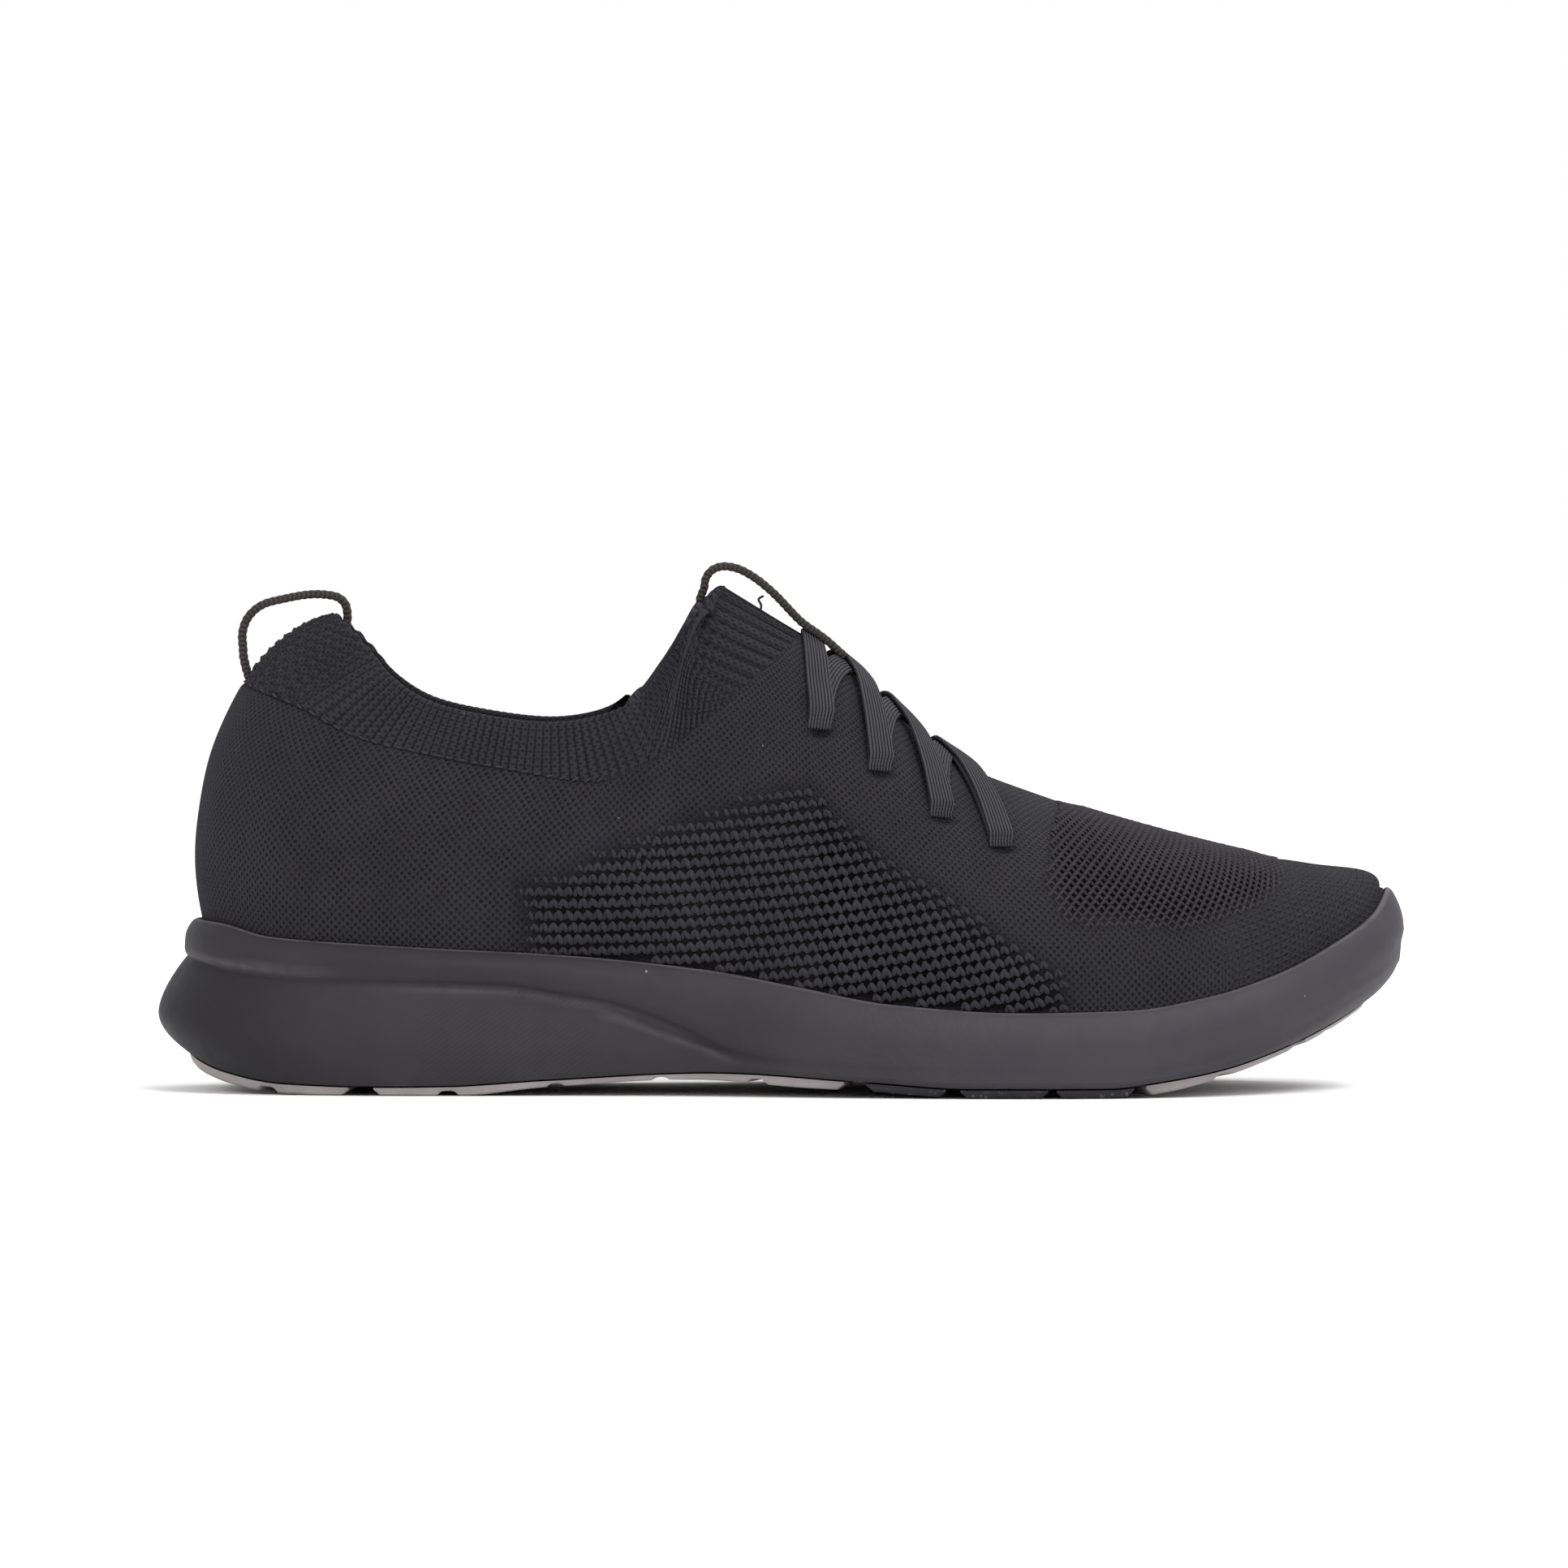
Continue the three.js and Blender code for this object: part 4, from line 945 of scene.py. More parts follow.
def make_mesh_bars():
    """The vamp's holed mesh: a net of thick and thin slanted bars that leaves slits between them."""
    length = EDGES[LATERAL].length
    rows = np.arange(0, 62)[:, None]
    p = 0.5 * length + BAR_PITCH * (np.arange(66)[None] + 0.5 * (rows % 2))
    q = 6 + BAR_COURSE * rows + 0 * p
    levels = np.linspace(0, 1, 120)
    tilt = math.atan2(BAR_COURSE, BAR_PITCH / 2)
    places = []
    rng = np.random.default_rng(11)
    for lean, girth in ((1, 1.0), (-1, THIN_BAR)):
        share = ((p + lean * BAR_PITCH / 4) / length).ravel()
        lines = upper_point(LATERAL, share[:, None], levels[None], 0)
        targets = (q + BAR_COURSE / 2).ravel()
        row = np.array([np.interp(target, walk(line), levels) for target, line in zip(targets, lines)])
        at = upper_point(LATERAL, share, row, 0)
        edge = inside(VAMP, at[:, 0], at[:, 2])
        keep = (edge > -1) & (row < 0.9995) & (share < 0.97)
        share, row, edge = share[keep], row[keep], edge[keep]
        sink = BAR_SINK * (1 - smoothstep(edge, 0, 6))
        for side in SIDES:
            scale = girth * (1 + rng.uniform(-0.08, 0.08, len(share)))
            lift = BAR_LIFT - sink + rng.uniform(-0.04, 0.04, len(share))
            places.append((side, share, row, lift, direction(side, share, row), scale, lean * tilt))
    make_knots("vamp_mesh", places, BAR_SIZE, mesh_yarn)


def make_stitches():
    """The dashed seam that joins collar and upper."""
    x = np.arange(22, 104, 2.9)
    share, row = find_on_upper(x, seam_z(x) + 0.3)
    places = [(side, share, row, np.full(len(x), 0.2), direction(side, share, row), np.ones(len(x)), 0)
              for side in SIDES]
    make_knots("seam_stitches", places, (2.1, 0.55, 0.5), thread, bend=None)


make_links()
make_mesh_bars()
make_stitches()

# ---- Ribbed collar ----
COLLAR_ROWS = np.linspace(0, 1, 30)
COLLAR_BACK = np.linspace(1, 0, 12)
RIM_ARC = np.linspace(0, 1, 7)[1:-1]
RIM_CROWN = 0.8
INSTEP_DOWN = (0.527, 0.85)  # direction square to the instep's ridge, seen from the side
BUMP, BUMP_PITCH = 0.42, 2.4
BACK_LENGTH = 14
share_table = np.linspace(0, 1, 2000)
length_table = top_length(share_table)
# Ribs are counted along the rim: coarse at the heel tab, fine along the sides, broad at the throat.
RIBS_END = 240
rib_pitch = profile(
    (0, 2.6), (16, 2.4), (30, 1.65), (rim.length - 34, 1.7), (rim.length - 22, 3.4), (RIBS_END, 3.8),
)
rib_at = np.linspace(0, RIBS_END, 2400)
rib_count = np.concatenate([[0], np.cumsum(np.diff(rib_at) / rib_pitch(rib_at[1:]))])


def nearest_on_rim(points):
    """How far along the outer side's rim each point's nearest place is, and how far away that place is."""
    rim_at = np.linspace(0, rim.length, 1200)
    rim_points = rim.point(rim_at) * np.array([1, -1, 1])
    rim_points[:, 1] += middle_y(rim_points[:, 0])
    near, away = [], []
    for part in np.array_split(points, len(points) // 2000 + 1):
        gap = part[:, None] - rim_points[None]
        distance = np.einsum("ijk,ijk->ij", gap, gap)
        near.append(rim_at[distance.argmin(1)])
        away.append(np.sqrt(distance.min(1)))
    return np.concatenate(near), np.concatenate(away)


def collar_side(side, shares):
    """One side's outer and inner face, its place along and away from the rim, and its grooves' shade."""
    low = np.minimum(seam_row(side, shares), 0.995)[:, None]
    rows, back = lerp(low, 1, COLLAR_ROWS[None]), lerp(low, 1, COLLAR_BACK[None])
    plain, normal = surface(side, shares[:, None], rows, np.zeros(rows.shape))
    twin = upper_point(LATERAL, shares[:, None], rows, 0)
    near, reach = (values.reshape(rows.shape) for values in nearest_on_rim(twin.reshape(-1, 3)))
    x, y, z = np.moveaxis(twin, -1, 0)
    under_ridge = (THROAT_X - x) * INSTEP_DOWN[0] + (THROAT_Z - z) * INSTEP_DOWN[1]
    turned = smoothstep(x, 112, 127)
    s = lerp(near, rim.length - np.hypot(under_ridge, y - middle_y(x)), turned)
    count = np.interp(np.abs(s), rib_at, rib_count)
    wave = np.abs(np.cos(math.pi * count)) ** 0.8
    tab = 1 - smoothstep(s, 16, 30)
    bumps = BUMP * tab * np.cos(2 * math.pi * reach / BUMP_PITCH + math.pi * count)
    fade = 1 - smoothstep(reach, 26, 40) * smoothstep(x, 104, 114)
    height = (0.5 + 0.45 * turned) * fade * (1 - 0.6 * tab) * (wave - 0.7) + bumps * fade
    height[:, 0] *= 0.4
    height *= np.where(shares[:, None] > THROAT_SHARE, smoothstep(1 - rows, 0, 0.05), 1)
    shade = (1 - smoothstep(wave, 0.12 + 0.1 * turned, 0.62 + 0.3 * turned)) * fade * (1 - 0.5 * tab)
    shade = np.maximum(shade, 0.6 * smoothstep(-bumps, 0.1, 0.4))
    depth = lerp(KNIT, 0.55, smoothstep(low - back, -0.05, -0.01))
    inner = upper_point(side, shares[:, None], back, depth)
    return plain + normal * height[..., None], inner, s, reach, shade


def make_collar():
    some_shares = share_table[::4]
    last_share = some_shares[np.argmax(seam_row(LATERAL, some_shares) > 0.985)]
    past_throat = np.linspace(rim.length, float(top_length(last_share)), 60)
    lengths = np.concatenate([np.arange(0, rim.length, 0.3), past_throat])
    shares = np.interp(lengths, length_table, share_table)
    grids = {side: collar_side(side, shares) for side in SIDES}
    loops, fields = {}, {}
    past = shares >= THROAT_SHARE
    arc_count, back_count = len(RIM_ARC), len(COLLAR_BACK)

    def over_rim(values, count):
        return np.broadcast_to(values[:, -1:], (len(shares), count))

    for side in SIDES:
        outer, inner, s, reach, shade = grids[side]
        meet(grids, side, past)
        top_out, top_in = outer[:, -1], inner[:, 0]
        up = unit(top_out - outer[:, -3])
        arc = [lerp(top_out, top_in, t) + up * math.sin(math.pi * t) * RIM_CROWN for t in RIM_ARC]
        arc = np.stack(arc, 1)
        arc[past] = top_out[past, None]
        loops[side] = np.concatenate([outer, arc, inner], 1)
        down_back = np.broadcast_to(-COLLAR_BACK * BACK_LENGTH, inner.shape[:2])
        along = np.concatenate([s, over_rim(s, arc_count + back_count)], 1)
        away = np.concatenate([reach, over_rim(reach, arc_count), down_back], 1)
        fields[side] = {
            "cloth": stack(along, away, 0),
            "groove": np.concatenate([shade, over_rim(shade, arc_count), 0 * down_back], 1),
        }
    run = np.concatenate([loops[LATERAL][::-1], loops[MEDIAL][1:]])
    merged = {key: np.concatenate([fields[LATERAL][key][::-1], fields[MEDIAL][key][1:]])
              for key in fields[LATERAL]}
    n, m = run.shape[:2]
    skip = np.zeros((n - 1, m), bool)
    run_past = np.concatenate([past[::-1], past[1:]])
    first = len(COLLAR_ROWS) - 1
    skip[run_past[:-1] & run_past[1:], first : first + arc_count + 1] = True
    add_piece("collar_rib", run, loft(n, m, ring=False, skip=skip), rib_yarn, merged,
              ("ribbed_collar",))


make_collar()

# ---- Midsole ----
FOOT_SHARES = np.linspace(0, 1, 300)
SPINE = (34, 256)
TREAD_INSET = 0.8
WEDGE_ROWS, LIP_ROWS = np.linspace(0.03, 1, 22), np.linspace(0.15, 0.85, 4)
# Rows of the upper band: the share of its height, the way to the band's line and the way to the lip's line.
BAND_ROWS = [(0.3, 0.35, 0), (0.45, 1, 0), (0.58, 1, 0.06), (0.68, 1, 0.17), (0.78, 1, 0.35), (0.86, 1, 0.54),
             (0.93, 1, 0.74), (0.975, 1, 0.9)]
RIDGE_HEIGHT, RIDGE_SPREAD, EDGE_SPREAD = 0.75, 1.1, 0.9


def spine_point(shares):
    x = np.clip((outline_x(LATERAL, shares) + outline_x(MEDIAL, shares)) / 2, *SPINE)
    return stack(x, middle_y(x), 0 * x)


def inset_point(side, shares, inset, height):
    point, out = outline(side, shares)
    p = point - out * np.asarray(inset)[..., None]
    p[..., 2] = height
    return p


def floor_point(side, shares, inset, height_at, inwards=0.0):
    """A point of a floor whose height follows x, a share of the way from its inset edge to the spine."""
    p = lerp(inset_point(side, shares, inset, 0.0), spine_point(shares), inwards)
    p[..., 2] = height_at(p[..., 0])
    return p


def around(make):
    """Both sides' columns, once round the outline."""
    return join_round(make(LATERAL), make(MEDIAL))


def near_line(z, line_z, spread):
    return np.exp(-(((z - line_z) / spread) ** 2))


def on_second_ridge(x, z, start):
    return near_line(z, second_ridge(x), RIDGE_SPREAD) * hump(x, start, 108, 126, 138)


def midsole_side(side):
    """One side's columns, from the spine below round the wall to the spine inside, and each one's part."""
    shares = FOOT_SHARES
    x = outline_x(side, shares)
    wall = {key: inset(x) for key, inset in WALL.items()}
    at_groove, at_lip = groove(x), lip_top(x)
    base = floor_point(side, shares, wall["bottom"], sole_bottom)
    below = [(TREAD_INSET, 1), (TREAD_INSET, 0.6), (TREAD_INSET, 0.3), (1.2, 0)]
    columns = [floor_point(side, shares, wall["bottom"] + inset, sole_bottom, f) for inset, f in below]
    columns.append(inset_point(side, shares, wall["bottom"] + 0.35, base[..., 2] + 0.05))
    kinds = ["low"] * len(columns)
    peak = lerp(WEDGE_PEAK, TOE_PEAK, smoothstep(x, 250, 285))
    for f in WEDGE_ROWS:
        below = np.maximum(0, 1 - f / peak) ** 2
        above = max(0, (f - WEDGE_PEAK) / (1 - WEDGE_PEAK)) ** 1.6
        inset = wall["wedge"] + below * (wall["bottom"] - wall["wedge"])
        inset = inset + above * (wall["groove"] - wall["wedge"])
        z = lerp(base[..., 2], at_groove, f)
        columns.append(inset_point(side, shares, inset - RIDGE_HEIGHT * on_second_ridge(x, z, 99), z))
    steps = [(lerp(wall["groove"], wall["ledge"], 0.7), at_groove + 0.7), (wall["ledge"], at_groove + 1.8)]
    for f, to_band, to_lip in BAND_ROWS:
        inset = lerp(lerp(wall["ledge"], wall["band"], to_band), wall["lip"], to_lip)
        steps.append((inset, np.maximum(at_groove + (at_lip - at_groove) * f, at_groove + 1.9 + f)))
    kinds += ["wedge"] * len(WEDGE_ROWS) + ["band"] * len(steps) + ["lip"] * len(LIP_ROWS)
    steps += [(wall["lip"] + LIP_WALL * t, at_lip - 0.15 + math.sin(math.pi * t) * 0.35) for t in LIP_ROWS]
    columns += [inset_point(side, shares, inset, z) for inset, z in steps]
    columns.append(inset_point(side, shares, cup_inset(x), at_lip - 0.4))
    columns.append(floor_point(side, shares, cup_inset(x), footbed))
    columns += [floor_point(side, shares, board_inset(x), footbed, f) for f in (0, 0.4, 1)]
    return np.stack(columns, 1), kinds + ["glue"] + ["inner"] * 4


def make_midsole():
    kinds = np.array(midsole_side(LATERAL)[1])[None]
    ring = around(lambda side: midsole_side(side)[0])
    x, z = ring[..., 0], ring[..., 2]
    wedge, band, lip, glue = (kinds == kind for kind in ("wedge", "band", "lip", "glue"))
    outer = wedge | band | lip | glue
    # The worn field is wear on the lip's top, and painted highlight along the band's edge at the heel, just
    # below the groove and on the second ridge.
    heel_edge_highlight = near_line(z, groove(x) + 2.2, EDGE_SPREAD) * (1 - smoothstep(x, 20, 50)) * band
    lower_edge_highlight = near_line(z, groove(x) - 0.9, EDGE_SPREAD) * hump(x, 45, 80, 105, 135) * wedge
    worn = 0.85 * lip + (0.55 * (heel_edge_highlight + lower_edge_highlight) + 0.4 * on_second_ridge(x, z, 100)) * outer
    fields = {
        "band": np.maximum((band | lip | glue) * 1.0, smoothstep(x, 120, 160) * outer),
        "worn": np.clip(worn, 0, 1),
        "glue": glue + 0.15 * lip,
        "hatch": hump(x, 56, 66, 96, 108) * wedge,
        "grain": hump(x, 150, 165, 185, 210) * outer,
    }
    add_piece("midsole_foam_unit", ring, bowl(*ring.shape[:2]), foam, fields,
              ("midsole", "midsole_forefoot"), bend=FOREFOOT_BEND)


make_midsole()

# ---- Board and insole ----
heel_room = profile((78, COUNTER + LINING + 2 * LAYER_GAP + GAP), (92, 0))


def insole_inset(x):
    return board_inset(x) + heel_room(x)


def make_layer(name, inset_at, low, high, edge, material, slot, *nodes):
    """A layer lying on the footbed, between two heights above it, whose edge is rounded over a width."""
    shares = np.linspace(0, 1, 200)
    middle, half = (low + high) / 2, (high - low) / 2

    def side_columns(side):
        x = outline_x(side, shares)
        inset, floor = inset_at(x), footbed(x)

        def on_floor(height, inwards):
            return floor_point(side, shares, inset + edge, lambda at: footbed(at) + height, inwards)

        loop = [on_floor(low, f) for f in (1, 0.5, 0.15)]
        loop += [inset_point(side, shares, inset + edge * (1 - math.cos(a)),
                             floor + middle + half * math.sin(a))
                 for a in np.linspace(-math.pi / 2, math.pi / 2, 7)]
        loop += [on_floor(high, f) for f in (0.06, 0.15, 0.3, 0.5, 0.75, 1)]
        return np.stack(loop, 1)

    ring = around(side_columns)
    return add_piece(name, ring, bowl(*ring.shape[:2]), material, {"cloth": ring}, nodes,
                     bend=FOREFOOT_BEND)


board_top = BED_GAP + BOARD
make_layer("strobel_board_sheet", board_inset, BED_GAP, board_top, 0.4, board_fibre, "board",
           "strobel_board", "strobel_board_forefoot")
insole = make_layer("insole_bed", insole_inset, board_top + BED_GAP, board_top + BED_GAP + INSOLE, 1.2,
                    insole_cloth, "insole_fabric", "insole", "insole_forefoot")

# ---- Layers behind the knit ----
COUNTER_DEPTH = KNIT + LAYER_GAP
LINING_DEPTH = COUNTER_DEPTH + COUNTER + LAYER_GAP
TAPER_COLUMNS, TAPER_ROWS = 20, 4
EYESTAY_HALF = 0.07


def round_end(end, x, count):
    """Places from an x on the outer side, round the heel (end 0) or toe (end 1), to it on the inner one."""
    last = {side: float(share_at(side, np.array(x))) for side in SIDES}
    lateral = [(LATERAL, s) for s in np.linspace(last[LATERAL], end, count)]
    return lateral + [(MEDIAL, s) for s in np.linspace(end, last[MEDIAL], count)[1:]]


def make_backing(name, places, rows_at, depth, thick, material, node, crown=1, bend=None):
    """A sheet behind the knit, with round edges. crown swells its inner face between its edges."""
    loops = []
    count = len(places)
    for i, (side, share) in enumerate(places):
        rows = rows_at(share)
        k = np.arange(len(rows))
        full = (smoothstep(min(i, count - 1 - i), 0, TAPER_COLUMNS) * smoothstep(k, -0.5, TAPER_ROWS)
                * smoothstep(len(rows) - 1 - k, -0.5, TAPER_ROWS))
        swell = np.sin(math.pi * k / (len(rows) - 1)) ** 0.5
        front_depth = lerp(KNIT + 0.08, depth, full)
        front = upper_point(side, share, rows, front_depth)
        back = upper_point(side, share, rows, front_depth + thick * lerp(0.12, lerp(1, crown, swell), full))
        loops.append(np.concatenate([front, back[::-1]]))
    run = np.array(loops)
    n, m = run.shape[:2]
    cloth = stack(np.arange(n)[:, None], run[..., 2], 0)
    return add_piece(name, run, folded(n, m), material, {"cloth": cloth}, (node,), bend=bend)


def eyestay_rows(share):
    t = (share - eyelet_share[0]) / (eyelet_share[-1] - eyelet_share[0])
    middle = lerp(eyelet_row[0], eyelet_row[-1], t)
    return np.linspace(middle - EYESTAY_HALF, middle + EYESTAY_HALF, 8)


make_backing("heel_lining_cloth", round_end(0, 72, 110), lambda share: np.linspace(-0.6, 0.5, 40),
             LINING_DEPTH, LINING, lining_cloth, "heel_lining")
collar_pad = make_backing("collar_pad", round_end(0, 58, 90), lambda share: np.linspace(0.56, 0.93, 26),
                          COUNTER_DEPTH, PADDING, pad_cloth, "collar_padding", crown=1.12)
for side, word in SIDE_WORDS.items():
    strip = [(side, s) for s in np.linspace(eyelet_share[0] - 0.02, eyelet_share[-1] + 0.016, 60)]
    make_backing(f"eyestay_film_{word}", strip, eyestay_rows, COUNTER_DEPTH + LAYER_GAP, BACKING, film_fibre,
                 f"eyestay_backing_{word}", bend=FOREFOOT_BEND)

# ---- Elastic lace ----
LACE_RIBS, LACE_THICK, RIB_CREST = 8, 1.05, 0.2
CROSS_START = 0.35  # the share of a strand's way over the instep that runs straight before it slants
UNDER, OVER = -0.2, 0.8  # the knit lies lower than this by its sinks
DIVE_LENGTH, DIVE_DEPTH = 2.6, 2.4
STRAND_STEPS = 90
STRAND_NEARBY = 0.004


def smooth_run(values, window):
    """Evens out kinks along a run of points, and keeps both ends."""
    padded = np.concatenate([np.repeat(values[:1], window, 0), values, np.repeat(values[-1:], window, 0)])
    kernel = np.ones(2 * window + 1) / (2 * window + 1)
    return np.stack([np.convolve(axis, kernel, "valid") for axis in padded.T], -1)


def on_instep(share, reach, height):
    """Points over the instep: reach is negative on the outer side, 0 on the ridge, positive inside."""
    outer, inner = (surface(side, share, 1 - np.abs(reach), height) for side in SIDES)
    on_outer = (reach < 0)[..., None]
    return [np.where(on_outer, a, b) for a, b in zip(outer, inner)]


def strand(start, end, low, arch, late=True):
    """A ribbed strip that lies across the instep from an outer eyelet to an inner one, and dives in at both
    ends. low is its height over the surface near its ends, and arch is added to that in its middle. A late
    strand climbs straight up from the outer eyelet and slants on the inner side. An early one does the
    opposite."""
    t = np.linspace(0, 1, STRAND_STEPS)
    slant = smoothstep(t, CROSS_START, 1) if late else 1 - smoothstep(1 - t, CROSS_START, 1)
    share = lerp(eyelet_share[start], eyelet_share[end], slant)
    reach = lerp(-(1 - eyelet_row[start]), 1 - eyelet_row[end], t)
    zero = np.zeros(STRAND_STEPS)

    def slope(share_step, reach_step):
        ahead, behind = (on_instep(share + k * share_step, reach + k * reach_step, zero)[0] for k in (1, -1))
        return smooth_run((ahead - behind) / 2 / STRAND_NEARBY, 3)

    line, up = on_instep(share, reach, zero)
    line, up = smooth_run(line, 2), unit(smooth_run(up, 4))
    walked = walk(line)
    across = unit(np.cross(unit(smooth_run(np.gradient(line, axis=0), 3)), up))
    # The steps in share and reach that lead one millimetre across the strand.
    by_share, by_reach = slope(STRAND_NEARBY, 0), slope(0, STRAND_NEARBY)
    pairs = (by_share, by_share), (by_reach, by_reach), (by_share, by_reach)
    ss, rr, sr = ((a * b).sum(1) for a, b in pairs)
    sa, ra = (by_share * across).sum(1), (by_reach * across).sum(1)
    fall = ss * rr - sr * sr
    share_step, reach_step = (rr * sa - sr * ra) / fall, (ss * ra - sr * sa) / fall

    top_u, lower_u = np.linspace(-1, 1, LACE_RIBS * 4 + 1), np.linspace(1, -1, 9)
    crest = RIB_CREST * np.abs(np.sin(math.pi * (top_u + 1) * LACE_RIBS / 2)) ** 0.6
    flank, lower_flank = (np.sqrt(np.clip(1 - u**8, 0, 1)) for u in (top_u, lower_u))
    side_at = np.concatenate([top_u, lower_u])
    rise = np.concatenate([LACE_THICK * (0.4 + 0.4 * flank) + crest * flank,
                           0.35 * LACE_THICK * (1 - lower_flank)])
    to_end = np.minimum(walked, walked[-1] - walked)
    dive = 1 - smoothstep(to_end, 0, DIVE_LENGTH)
    height = low + arch * smoothstep(to_end, 3, 14) - DIVE_DEPTH * dive**1.4
    half = (LACE_WIDTH / 2 * (1 - 0.06 * dive))[:, None] * side_at[None]
    steps = (share, share_step), (reach, reach_step)
    share, reach = (at[:, None] + step[:, None] * half for at, step in steps)
    points = on_instep(share, reach, height[:, None] + rise[None])[0]
    return points, stack(side_at * LACE_WIDTH / 2, walked[:, None], 0)


def make_lace():
    last = len(EYELETS) - 1
    runs = [strand(0, 0, OVER + 0.45, -0.8), strand(last, last, UNDER, 0.1)]
    for i in range(last):
        runs += [strand(i, i + 1, UNDER, 0, late=False), strand(i + 1, i, OVER, 0.25)]
    points, cloth, faces = [], [], []
    for run, run_cloth in runs:
        base = sum(len(p) for p in points)
        faces += [[base + k for k in face] for face in tube(*run.shape[:2])]
        points.append(run.reshape(-1, 3))
        cloth.append(run_cloth.reshape(-1, 3))
    add_piece("lace_cord", np.concatenate(points), faces, lace_yarn, {"cloth": np.concatenate(cloth)},
              ("elastic_lace",), bend=FOREFOOT_BEND)


make_lace()

# ---- Pull loops ----
HEEL_BOW = [
    (19.8, 101.8), (19.6, 106), (20.9, 109.6), (24, 112.4), (29.2, 113.9), (35, 114.9), (38.7, 114.9),
    (42, 114.2), (43.6, 112.6),
]
HEEL_OUTER_END = [(21.6, 94), (20.8, 96.6), (20.2, 98.8), (19.75, 101.3)]
HEEL_INNER_END = [(43.9, 111.4), (44, 108.8), (43.2, 106.4), (41.6, 105.2)]
TONGUE_BOW = [
    (126.9, 116.2), (127, 118), (128.2, 120.2), (130.6, 121.4), (134.4, 121), (138.3, 119), (142, 116.1),
    (144.6, 113.6),
]
TONGUE_INNER_END = [(129.2, 108.8), (126.4, 111), (125.8, 113.4), (126.5, 115.6)]
TONGUE_TAIL = [(147, 111), (149.6, 108.4), (152.4, 106.4), (155.3, 104.3), (158.2, 101.7), (159.8, 100.3)]
PICK, PICK_PITCH = 0.2, 1.5
SWING_FROM, SWING_TO = -0.001, 0.006  # metres above the hinge: the span given with each loop for where it would start to swing


def power(wave, exponent):
    return np.sign(wave) * np.abs(wave) ** exponent


def make_loop(name, points, middle, body, *ends):
    """One woven tape along x and z points: rounded edges, picks that stand out, and a serrated outline."""
    route = ByLength(catmull_rom([(x, 0, z) for x, z in points], np.linspace(0, 1, 600)))
    s = np.linspace(0, route.length, int(route.length / 0.3))
    line = smooth_run(route.point(s), 3)
    along = unit(np.gradient(line, axis=0))
    out = stack(-along[:, 2], 0, along[:, 0])
    angle = np.linspace(0, 2 * math.pi, 28, endpoint=False)
    across, thick = power(np.cos(angle), 0.35), power(np.sin(angle), 0.7)
    saw = PICK * np.abs(np.sin(math.pi * s[:, None] / PICK_PITCH)) - PICK / 2
    half_thick = TAPE_THICK / 2 * 0.92 + saw * (0.6 + 0.4 * np.abs(across))
    half_width = TAPE_WIDTH / 2 * 0.98 + 0.5 * saw
    run = (line[:, None] + out[:, None] * (thick * half_thick)[..., None]
           + np.array([0, 1, 0]) * (across * half_width)[..., None])
    run[..., 1] += middle
    joint = JOINTS[f"{body}_swing"]
    hinge, axis = np.array(joint["pos_m"]), joint["axis"]
    upward = np.array([-axis[2], 0, axis[0]])
    bend = (body, tuple(hinge + SWING_FROM * upward), tuple(hinge + SWING_TO * upward))
    add_piece(name, run, tube(*run.shape[:2]), tape_yarn,
              {"cloth": stack(across * TAPE_WIDTH / 2, s[:, None], 0)}, (body, *ends), bend=bend)


make_loop("heel_pull_loop", HEEL_OUTER_END + HEEL_BOW + HEEL_INNER_END, 0, "heel_loop",
          "heel_loop_outer_end", "heel_loop_inner_end")
make_loop("tongue_pull_loop", TONGUE_INNER_END + TONGUE_BOW + TONGUE_TAIL, float(middle_y(THROAT_X)),
          "tongue_loop", "tongue_loop_inner_end", "tongue_loop_tail")

# ---- Outsole pads ----
TREAD_WIDTH, TOE_WIDTH = 21, 12
NOTCH_SLOPE, NOTCH_DEPTH = 0.8, 0.55
END_SLOPE, END_DEPTH = 1.6, 0.7
ARCH_NOTCHES = [(66, 70), (91, 94), (115, 118), (136.5, 140)]
LUGS = [(163.5, 182), (185.5, 206), (208, 226.5)]


def make_pad(node, places, notches=(), slot="taupe_rubber", width=TREAD_WIDTH, body="root", bend=None):
    """A rubber pad along the sole's edge, with bevelled ends and shallow notches across its tread."""
    edge = np.array([edge_point(side, np.array(share)) for side, share in places])
    x, run = edge[:, 0], walk(edge)
    end_rise = 1 - smoothstep(np.minimum(run, run[-1] - run), 0, END_SLOPE)
    notch = np.zeros(len(x))
    for low, high in notches:
        notch = np.maximum(notch, hump(x, low - NOTCH_SLOPE, low + NOTCH_SLOPE, high - NOTCH_SLOPE,
                                       high + NOTCH_SLOPE))
    raised = np.maximum(NOTCH_DEPTH * notch, END_DEPTH * end_rise)
    bottom = WALL["bottom"](x) + TREAD_INSET
    section = [(0, 0), (0.1, 0.35), (0.45, 0.8), (1.3, 1), (3, 1), (width / 2, 1), (width - 2, 1),
               (width - 0.7, 0.8), (width, 0.3), (width, 0), (width / 2, 0)]
    columns = []
    for inset, down in section:
        points = np.array([inset_point(side, np.array(share), b + inset, 0.0)
                           for (side, share), b in zip(places, bottom)])
        glued = sole_bottom(points[:, 0]) - GAP
        low = np.minimum(tread_bottom(points[:, 0]), glued - 0.8)
        points[:, 2] = lerp(glued, low, down * (1 - raised))
        columns.append(points)
    ring = np.stack(columns, 1)
    worn = np.array([1.0 if down > 0.7 else 0.3 for _, down in section])
    add_piece(f"{node}_tread", ring, tube(*ring.shape[:2]), RUBBER[slot], {"worn": worn}, (node,),
              body=body, bend=bend, smooth=False)


def along_side(side, low, high):
    return [(side, s) for s in share_at(side, np.linspace(low, high, int((high - low) / 0.8) + 1))]


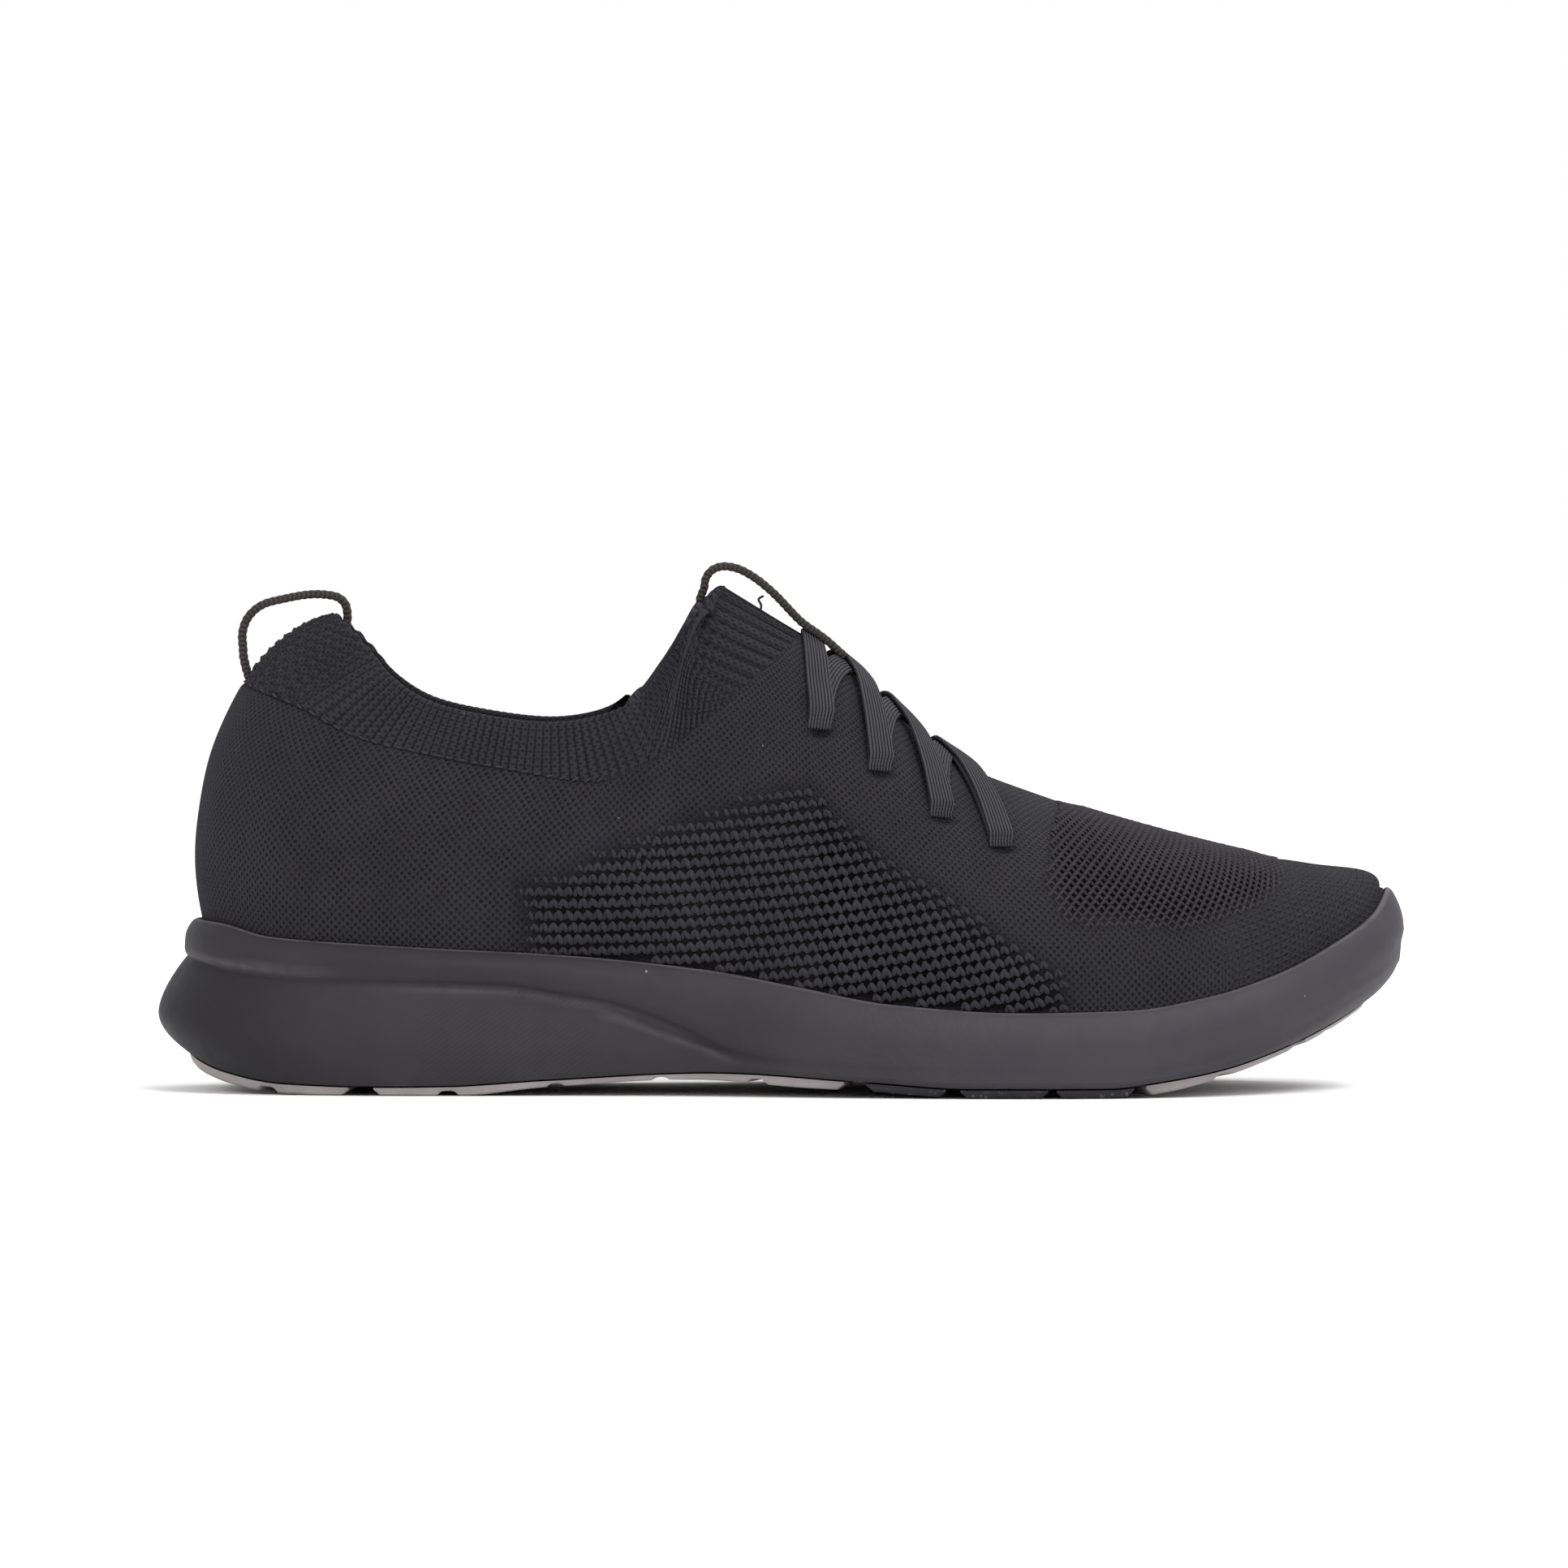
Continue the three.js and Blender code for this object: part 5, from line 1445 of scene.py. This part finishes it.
make_pad("heel_pad", round_end(0, 44.5, 70), [(22, 26.5)])
make_pad("toe_tip_pad", round_end(1, 270.5, 40), [(277, 279)], width=TOE_WIDTH, body="forefoot")
for side, word in SIDE_WORDS.items():
    make_pad(f"arch_pad_{word}", along_side(side, 50.5, 158.5), ARCH_NOTCHES)
    make_pad(f"toe_pad_{word}", along_side(side, 229.5, 268), [(247, 251)], bend=FOREFOOT_BEND)
    for i, (low, high) in enumerate(LUGS):
        make_pad(f"forefoot_lug_{word}_{i + 1}", along_side(side, low, high), slot="dark_rubber",
                 bend=FOREFOOT_BEND)


# ---- Loose thread at the throat ----
THREAD_PATH = [(139.6, -1, 110), (140.1, -1.2, 112.4), (139.5, -1, 113.8), (140.6, -1.4, 114.6)]
THREAD_RADIUS = 0.28


def make_thread():
    """A short yarn end that stands up beside the tongue loop."""
    path = catmull_rom(THREAD_PATH, np.linspace(0, 1, 16))
    along = unit(np.gradient(path, axis=0))
    aside = unit(np.cross(along, np.array([0, 1.0, 0.2])))
    angle = np.linspace(0, 2 * math.pi, 8, endpoint=False)[:, None]
    round_it = np.cos(angle) * aside[:, None] + np.sin(angle) * np.cross(along, aside)[:, None]
    ring = path[:, None] + THREAD_RADIUS * round_it
    n, m = ring.shape[:2]
    cloth = stack(np.arange(n)[:, None] * 0.3, angle[:, 0], 1)
    add_piece("loose_yarn_end", ring, tube(n, m), thread, {"cloth": cloth})


make_thread()

# ---- CAD nodes that stay as they are ----
for node in ("heel_counter", "toe_puff"):
    kept = frame["nodes"][node]
    kept.data.materials.clear()
    kept.data.materials.append(stiff_fibre)

# ---- Studio ----
FLOOR_HALF = 12.0
# Place, size and power of each lamp. All of them point at the middle of the shoe.
LAMPS = {
    "key": ((0.8, -1.3, 1.9), (1.2, 1.0), 36),
    "fill": ((-1.3, -1.4, 1.0), (1.0, 1.0), 4),
    "rim": ((0.5, 1.1, 1.6), (1.6, 0.8), 10),
}
CAMERA_DISTANCE, CAMERA_ELEVATION = 3.0, math.radians(1.6)
CAMERA_AIM = (145.4, -8, 71.1)
SENSOR = 36
PICTURE_WIDTH = 1.253 * LENGTH / 1000  # the shoe fills most of the picture's width
scene = bpy.context.scene
scene.view_settings.view_transform = "Standard"


def make_floor():
    mesh = bpy.data.meshes.new("studio_floor")
    corners = [(-1, -1), (1, -1), (1, 1), (-1, 1)]
    mesh.from_pydata([(x * FLOOR_HALF, y * FLOOR_HALF, 0) for x, y in corners], [], [(0, 1, 2, 3)])
    s = Shader("studio_white", 0.9, 0.1)
    mesh.materials.append(s.finish(s.light))
    floor = bpy.data.objects.new("studio_floor", mesh)
    scene.collection.objects.link(floor)


def make_lights():
    for name, (place, size, power) in LAMPS.items():
        light = bpy.data.lights.new(name, "AREA")
        light.shape = "RECTANGLE"
        light.size, light.size_y = size
        light.energy = power
        lamp = bpy.data.objects.new(name, light)
        lamp.location = place
        aim = (cad_box[0] + cad_box[1]) / 2
        lamp.rotation_euler = (aim - lamp.location).to_track_quat("-Z", "Y").to_euler()
        scene.collection.objects.link(lamp)
    world = bpy.data.worlds.new("studio_light")
    world.use_nodes = True
    background = world.node_tree.nodes["Background"].inputs
    background["Color"].default_value = (1, 1, 1, 1)
    background["Strength"].default_value = 1.0
    scene.world = world


def make_camera():
    """A long lens, nearly level, square to the outer side."""
    data = bpy.data.cameras.new("camera")
    data.sensor_width = SENSOR
    data.lens = SENSOR * CAMERA_DISTANCE / PICTURE_WIDTH
    camera = bpy.data.objects.new("camera", data)
    x, y, z = in_row(CAMERA_AIM)
    camera.location = (x, y - CAMERA_DISTANCE * math.cos(CAMERA_ELEVATION),
                       z + CAMERA_DISTANCE * math.sin(CAMERA_ELEVATION))
    camera.rotation_euler = (math.pi / 2 - CAMERA_ELEVATION, 0, 0)
    scene.collection.objects.link(camera)
    scene.camera = camera


make_floor()
make_lights()
make_camera()
